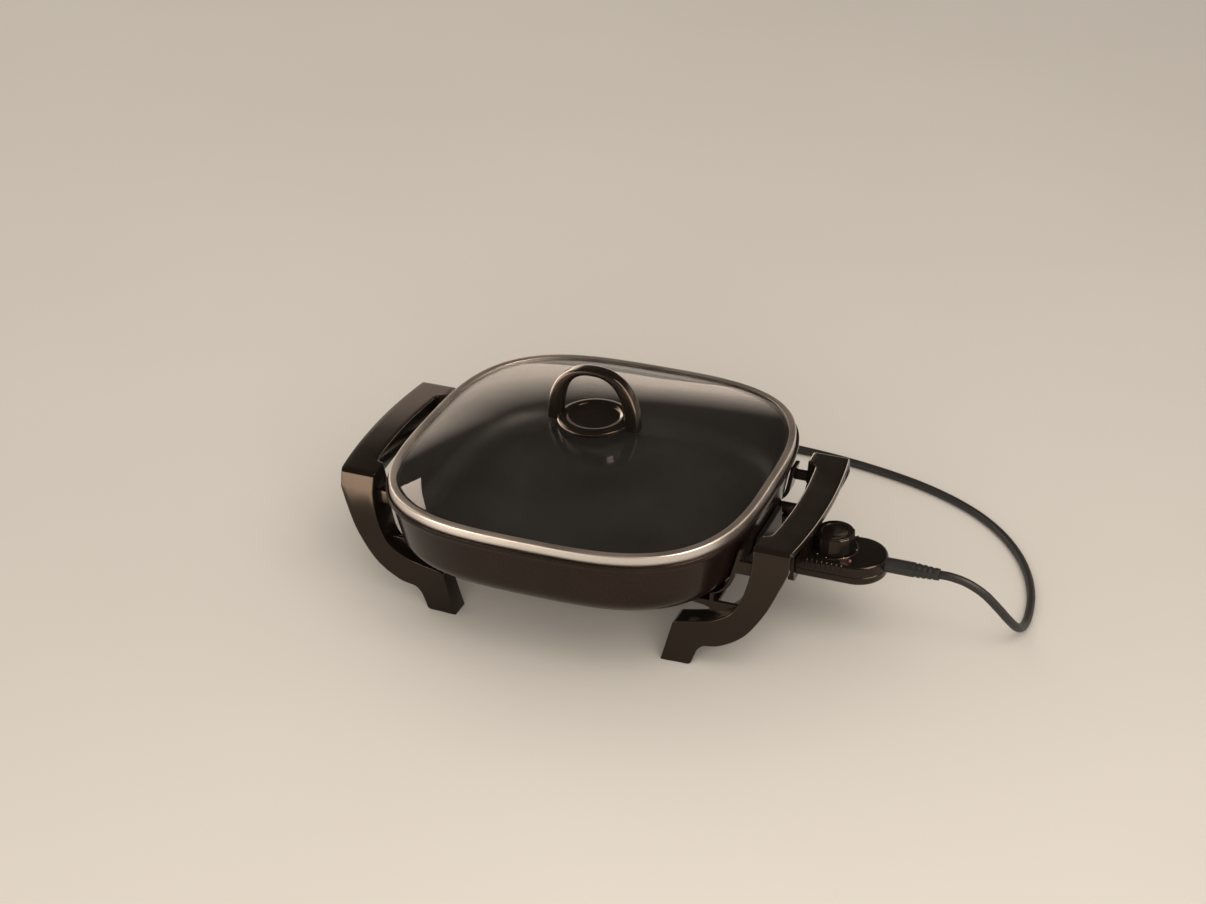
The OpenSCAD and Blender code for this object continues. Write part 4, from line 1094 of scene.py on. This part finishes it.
for side_name, mirror in (("right", 1), ("left", -1)):
    add_strap(f"strap_{side_name}", f"handle_{side_name}", mirror)
    add_braces(f"braces_{side_name}", mirror)


# -------- heat control

BODY_X, BODY_BOTTOM = node_box("control_base")[0][::2]
BODY_END_X = node_box("control_base")[1][0]
SPLIT_Z, BODY_TOP = [corner[2] for corner in node_box("control_cover")]
BODY_R = 24.0
BODY_CORNER_R = 0.8
COVER_EDGE_R = 3.0
SPLIT_GROOVE = 0.35
RIB_COUNT, RIB_PITCH = 8, 4.0
DIAL_X = sum(corner[0] for corner in node_box("dial_shaft")) / 2
DIAL_BOTTOM, DIAL_TOP = [corner[2] for corner in node_box("dial")]
DIAL_R = 16.0
DIAL_RIM_R = DIAL_R - 0.9
DIAL_WELL_R = 10.4
DIAL_STEP_Z = DIAL_TOP - 0.9
FLUTES, FLUTE_DEPTH = 12, 0.5
RIB_X = DIAL_X - 15.7
BEZEL_R = 18.0
# Section of the bezel: distance from its circle, and height above the cover
BEZEL_SECTION = [(-0.8, -0.1), (-0.75, 0.7), (-0.4, 0.97), (0.1, 1), (0.5, 0.75), (0.8, 0.1), (0.8, -0.1)]
# Angles in degrees, from the cord's side
POINTER_ANGLE = -60
MARK_ANGLES = (-122, -95, -50, 3)


def body_plan(inset):
    """Plan of the control's body: square at the flange and round at the cord."""
    r, corner = BODY_R - inset, BODY_CORNER_R
    front = BODY_X + inset + corner
    plan = arc((BODY_END_X - BODY_R, 0), r, -90, 90, 48)
    plan += arc((front, r - corner), corner, 90, 180, 4)
    return plan + arc((front, -r + corner), corner, 180, 270, 4)


def add_shell(name, levels, replaced):
    """A shell through plans of the control's body at levels of (inset, height)."""
    rows = [[(x, y, z) for x, y in body_plan(inset)] for inset, z in levels]
    mesh = build_mesh(name, [p for row in rows for p in row], tube_faces(len(rows), len(rows[0])), 35)
    add_object(name, mesh, "control", control_black, (replaced,))


def add_control():
    edge, groove = COVER_EDGE_R, SPLIT_GROOVE
    cover = [(groove, SPLIT_Z), (0, SPLIT_Z + groove), (0, BODY_TOP - edge)]
    cover += arc((edge, BODY_TOP - edge), edge, 180, 90, 8)[1:]
    cover += [(edge + 1.5, BODY_TOP), (12, BODY_TOP)]
    add_shell("control_shell", cover, "control_cover")
    base = [(edge, BODY_BOTTOM), (1.2, BODY_BOTTOM + 0.3), (0.3, BODY_BOTTOM + 1.2)]
    base += [(0, BODY_BOTTOM + 2.2), (0, SPLIT_Z - groove), (groove, SPLIT_Z)]
    add_shell("control_tray", base, "control_base")


def add_ribs():
    """Grip ribs that run up the cover's side and over its rounded edge."""
    low, shoulder = SPLIT_Z + 0.6, BODY_TOP - COVER_EDGE_R
    section = [(-0.8, -0.3), (-0.7, 0.3), (-0.35, 0.65), (0.35, 0.65), (0.7, 0.3), (0.8, -0.3)]
    path = [(BODY_R, z, 0) for z in between(low, shoulder, 6)[:-1]]
    over = arc((BODY_R - COVER_EDGE_R, shoulder), COVER_EDGE_R, 0, 80, 12)
    path += [(y, z, math.radians(90 * i / 12)) for i, (y, z) in enumerate(over)]
    ribs = []
    for side in (1, -1):
        for i in range(RIB_COUNT):
            rib = []
            for k, (y, z, turn) in enumerate(path):
                # The rib rises at its foot and dies out at its end
                lift = min(k / 1.5, 1, (len(path) - 1 - k) / 3)
                for across, height in section:
                    out = height * lift if height > 0 else height
                    x = RIB_X + i * RIB_PITCH + across
                    rib.append((x, side * (y + out * math.cos(turn)), z + out * math.sin(turn)))
            ribs.append(rib)
    mesh = build_mesh("grip_ribs", *join_tubes(ribs, len(section)), 50)
    add_object("grip_ribs", mesh, "control", control_black)


def flute(radius, angle):
    """Radius of the dial's fluted side, whose flutes fade out at the rim of its top."""
    depth = FLUTE_DEPTH * abs(math.sin(FLUTES * angle / 2))
    return radius - depth * smooth_step((radius - DIAL_RIM_R + 0.6) / 0.9)


def add_dial():
    edge, lip = 0.7, 0.3
    profile = [(DIAL_R - 3, DIAL_BOTTOM), (DIAL_R - 0.4, DIAL_BOTTOM), (DIAL_R, DIAL_BOTTOM + 0.4)]
    profile += arc((DIAL_R - edge, DIAL_STEP_Z - edge), edge, 0, 90, 5)
    profile += [(DIAL_RIM_R + 0.05, DIAL_STEP_Z + 0.05)]
    profile += arc((DIAL_RIM_R - edge, DIAL_TOP - edge), edge, 0, 90, 6)
    profile += arc((DIAL_WELL_R + lip, DIAL_TOP - lip), lip, 90, 180, 3)
    profile += [(DIAL_WELL_R - 0.1, DIAL_STEP_Z + 0.15), (DIAL_WELL_R - 0.5, DIAL_STEP_Z)]
    profile += [(4, DIAL_STEP_Z), (0.5, DIAL_STEP_Z)]
    lathe("dial_knob", profile, (DIAL_X, 0), "dial", control_black, ("dial",),
          sides=FLUTES * 32, flute=flute)


def add_pointer():
    """The rib down the dial's side that shows the setting."""
    a = math.radians(POINTER_ANGLE)
    out, side = Vector((math.cos(a), math.sin(a))), Vector((-math.sin(a), math.cos(a)))
    back, front, half = DIAL_R - 1.4, DIAL_R + 0.5, 0.8
    outline = rounded([(back, -half), (front, -half), (front, half), (back, half)], [0, 0.5, 0.5, 0])
    spots = [Vector((DIAL_X, 0)) + out * u + side * v for u, v in outline]
    points = [(spot.x, spot.y, z) for z in (DIAL_BOTTOM, DIAL_STEP_Z) for spot in spots]
    mesh = build_mesh("dial_pointer", points, tube_faces(2, len(outline)), 50)
    soften(add_object("dial_pointer", mesh, "dial", control_black), 0.25)


def add_bezel():
    """Raised ring round the dial, with printed dots on it that show the heat settings."""
    profile = [(BEZEL_R + out, BODY_TOP + height) for out, height in BEZEL_SECTION]
    lathe("dial_bezel", profile, (DIAL_X, 0), "control", control_black,
          ("bezel_ring",), sides=96, sharp=50, closed=True)
    mark_r = BEZEL_R - 0.15
    mark = [(0.42, BODY_TOP + 0.9), (0.42, BODY_TOP + 1.02), (0.3, BODY_TOP + 1.05)]
    for i, angle in enumerate(MARK_ANGLES):
        a = math.radians(angle)
        centre = (DIAL_X + mark_r * math.cos(a), mark_r * math.sin(a))
        lathe(f"mark_{i}", mark, centre, "control", print_material, sides=20)


add_control()
add_ribs()
add_dial()
add_pointer()
add_bezel()


# -------- CAD nodes that stay

# The nodes of each material, with the width by which their edges are rounded
DRESSED = [
    (sheath, {"heating_element": 0, "probe_sleeve": 0.15}),
    (brass, {"terminal_pins": 0.2, "contact_sleeves": 0.15, "lead_straps": 0.1,
             "contact_blades": 0.08, "plug_blades": 0.2}),
    (ceramic, {"terminal_insulators": 0.2, "blade_stack": 0.3}),
    (plated, {"pan_studs": 0.3, "guard_screws": 0.25, "handle_screws": 0.25, "knob_washer": 0.2,
              "knob_screw": 0.2, "control_screws": 0.15, "thermostat_frame": 0.15, "dial_shaft": 0.2}),
    (probe_steel, {"probe_rod": 0}),
    (guard_paint, {"terminal_guard": 0.5}),
    (silicone, {"knob_gasket": 0.2, "cord_tie": 0.2}),
    (control_black, {"probe_housing": 0.6}),
    (lens_material, {"indicator_lens": 0, "indicator_lamp": 0}),
    (cord_sheath, {"strain_relief": 0.3, "plug_body": 0.8}),
]

for material, nodes in DRESSED:
    for node, edge in nodes.items():
        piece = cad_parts[node]
        piece.data.materials.clear()
        piece.data.materials.append(material)
        if edge:
            soften(piece, edge)


# -------- floor and light

# Places and sizes below are the frame's metres
FLOOR_HALF_W = 7.0
LIGHT_AIM = (0, 0, 0.08)
FILL_COLOR = (1.0, 0.955, 0.90)
CARD_COLOR = (1.0, 0.82, 0.68)
BACKDROP_COLOR = (0.93, 0.90, 0.86)
BACKDROP = 1.0
WORLD_LIGHT = 0.55
HORIZON, CEILING = 1.15, 0.05
HORIZON_FADE = (0.10, 0.32)


def add_floor():
    half = FLOOR_HALF_W
    mesh = bpy.data.meshes.new("floor")
    corners = [(-half, -half, 0), (half, -half, 0), (half, half, 0), (-half, half, 0)]
    mesh.from_pydata(corners, [], [(0, 1, 2, 3)])
    mesh.materials.append(pale_floor())
    new_object("floor", mesh)


def add_box(name, place, size, radiance, lit="glossy", aim=LIGHT_AIM, roll=0, receivers=()):
    """A softbox that faces its aim, rolled by an angle in degrees. A fill lights matt surfaces,
    and a card is only seen in glossy ones, or in those of the named pieces alone."""
    data = bpy.data.lights.new(name, "AREA")
    data.shape = "RECTANGLE"
    data.size, data.size_y = size
    data.energy = radiance * math.pi * size[0] * size[1]
    data.color = FILL_COLOR if lit == "matt" else CARD_COLOR
    light = new_object(name, data)
    light.visible_transmission = False
    light.visible_glossy = lit == "glossy"
    light.visible_diffuse = lit == "matt"
    if receivers:
        linked = bpy.data.collections.new(name)
        for piece in receivers:
            linked.objects.link(bpy.data.objects[piece])
        light.light_linking.receiver_collection = linked
    turn = (Vector(aim) - Vector(place)).to_track_quat("-Z", "Y")
    turn = turn @ Quaternion((0, 0, 1), math.radians(roll))
    light.matrix_world = Matrix.Translation(Vector(place)) @ turn.to_matrix().to_4x4()


def add_world():
    """Even light for matt surfaces. Glossy ones see a bright horizon under a dark ceiling, and
    the camera sees a pale backdrop, also through the glass."""
    s = Shader("studio", bpy.data.worlds)
    height = s.add("SeparateXYZ", {0: s.add("TexCoord").outputs["Generated"]}).outputs["Z"]
    path = s.add("LightPath").outputs
    mirrored = s.spread(height, HORIZON, CEILING, *HORIZON_FADE)
    strength = s.spread(path["Glossy Depth"], BACKDROP, mirrored, 0, 1)
    strength = s.spread(path["Diffuse Depth"], strength, WORLD_LIGHT, 0, 1)
    color = s.blend(path["Glossy Depth"], (*BACKDROP_COLOR, 1), (*CARD_COLOR, 1))
    color = s.blend(path["Diffuse Depth"], color, (*FILL_COLOR, 1))
    world = s.finish(s.add("Background", {"Color": color, "Strength": strength}).outputs[0])
    world.cycles.sampling_method = "NONE"
    bpy.context.scene.world = world


def add_lights():
    """Three fills light the matt surfaces, and the cards make the picture's highlights."""
    straps, loop = ("strap_left", "strap_right"), ("knob_loop",)
    add_box("key", (-1.3, 1.0, 1.7), (1.7, 1.7), 0.8, "matt")
    add_box("front_fill", (0.9, -0.9, 1.9), (1.8, 1.6), 2.4, "matt")
    add_box("low_fill", (0.6, -1.8, 0.9), (2.4, 0.9), 3.6, "matt")
    # Seen in every glossy surface
    add_box("rear_card", (-1.386, 0.621, 1.161), (0.60, 0.54), 5.6,
            aim=(-0.331, -0.312, 0.121), roll=-19)
    add_box("right_card", (1.3, -0.25, 1.45), (1.1, 1.1), 10.0)
    add_box("front_card", (-0.50, -0.64, 0.09), (0.40, 0.17), 9.0)
    # Seen in the handles alone
    add_box("grip_card", (-0.389, 0.292, 0.223), (0.22, 0.12), 1.5,
            aim=(-0.24, 0.025, 0.04), receivers=("strap_left",))
    add_box("edge_card", (0.7, 1.0, 0.5), (0.9, 0.5), 10.0, receivers=straps)
    add_box("recess_card", (-0.47, 0.95, 0.41), (0.5, 0.35), 10.0, receivers=("strap_right",))
    # Seen in the knob, the dial with its bezel, or the ribs alone
    add_box("knob_left_card", (-0.50, 0.0, 0.18), (1.0, 0.4), 9.0,
            receivers=("knob_loop", "knob_dish"))
    add_box("knob_right_card", (0.53, -0.245, 0.22), (0.7, 0.5), 9.0, receivers=loop)
    add_box("knob_rear_card", (-0.30, 0.87, 0.28), (0.8, 0.34), 3.0, receivers=loop)
    add_box("dial_card", (0.99, -0.15, 1.07), (0.6, 0.6), 22.0,
            aim=(0.24, 0.0, 0.08), receivers=("dial_bezel", "dial_knob"))
    add_box("rib_card", (-0.01, -0.67, 0.84), (0.9, 0.4), 20.0,
            aim=(0.24, -0.02, 0.07), receivers=("grip_ribs",))


add_floor()
add_lights()
add_world()
bpy.context.scene.view_settings.view_transform = "Standard"
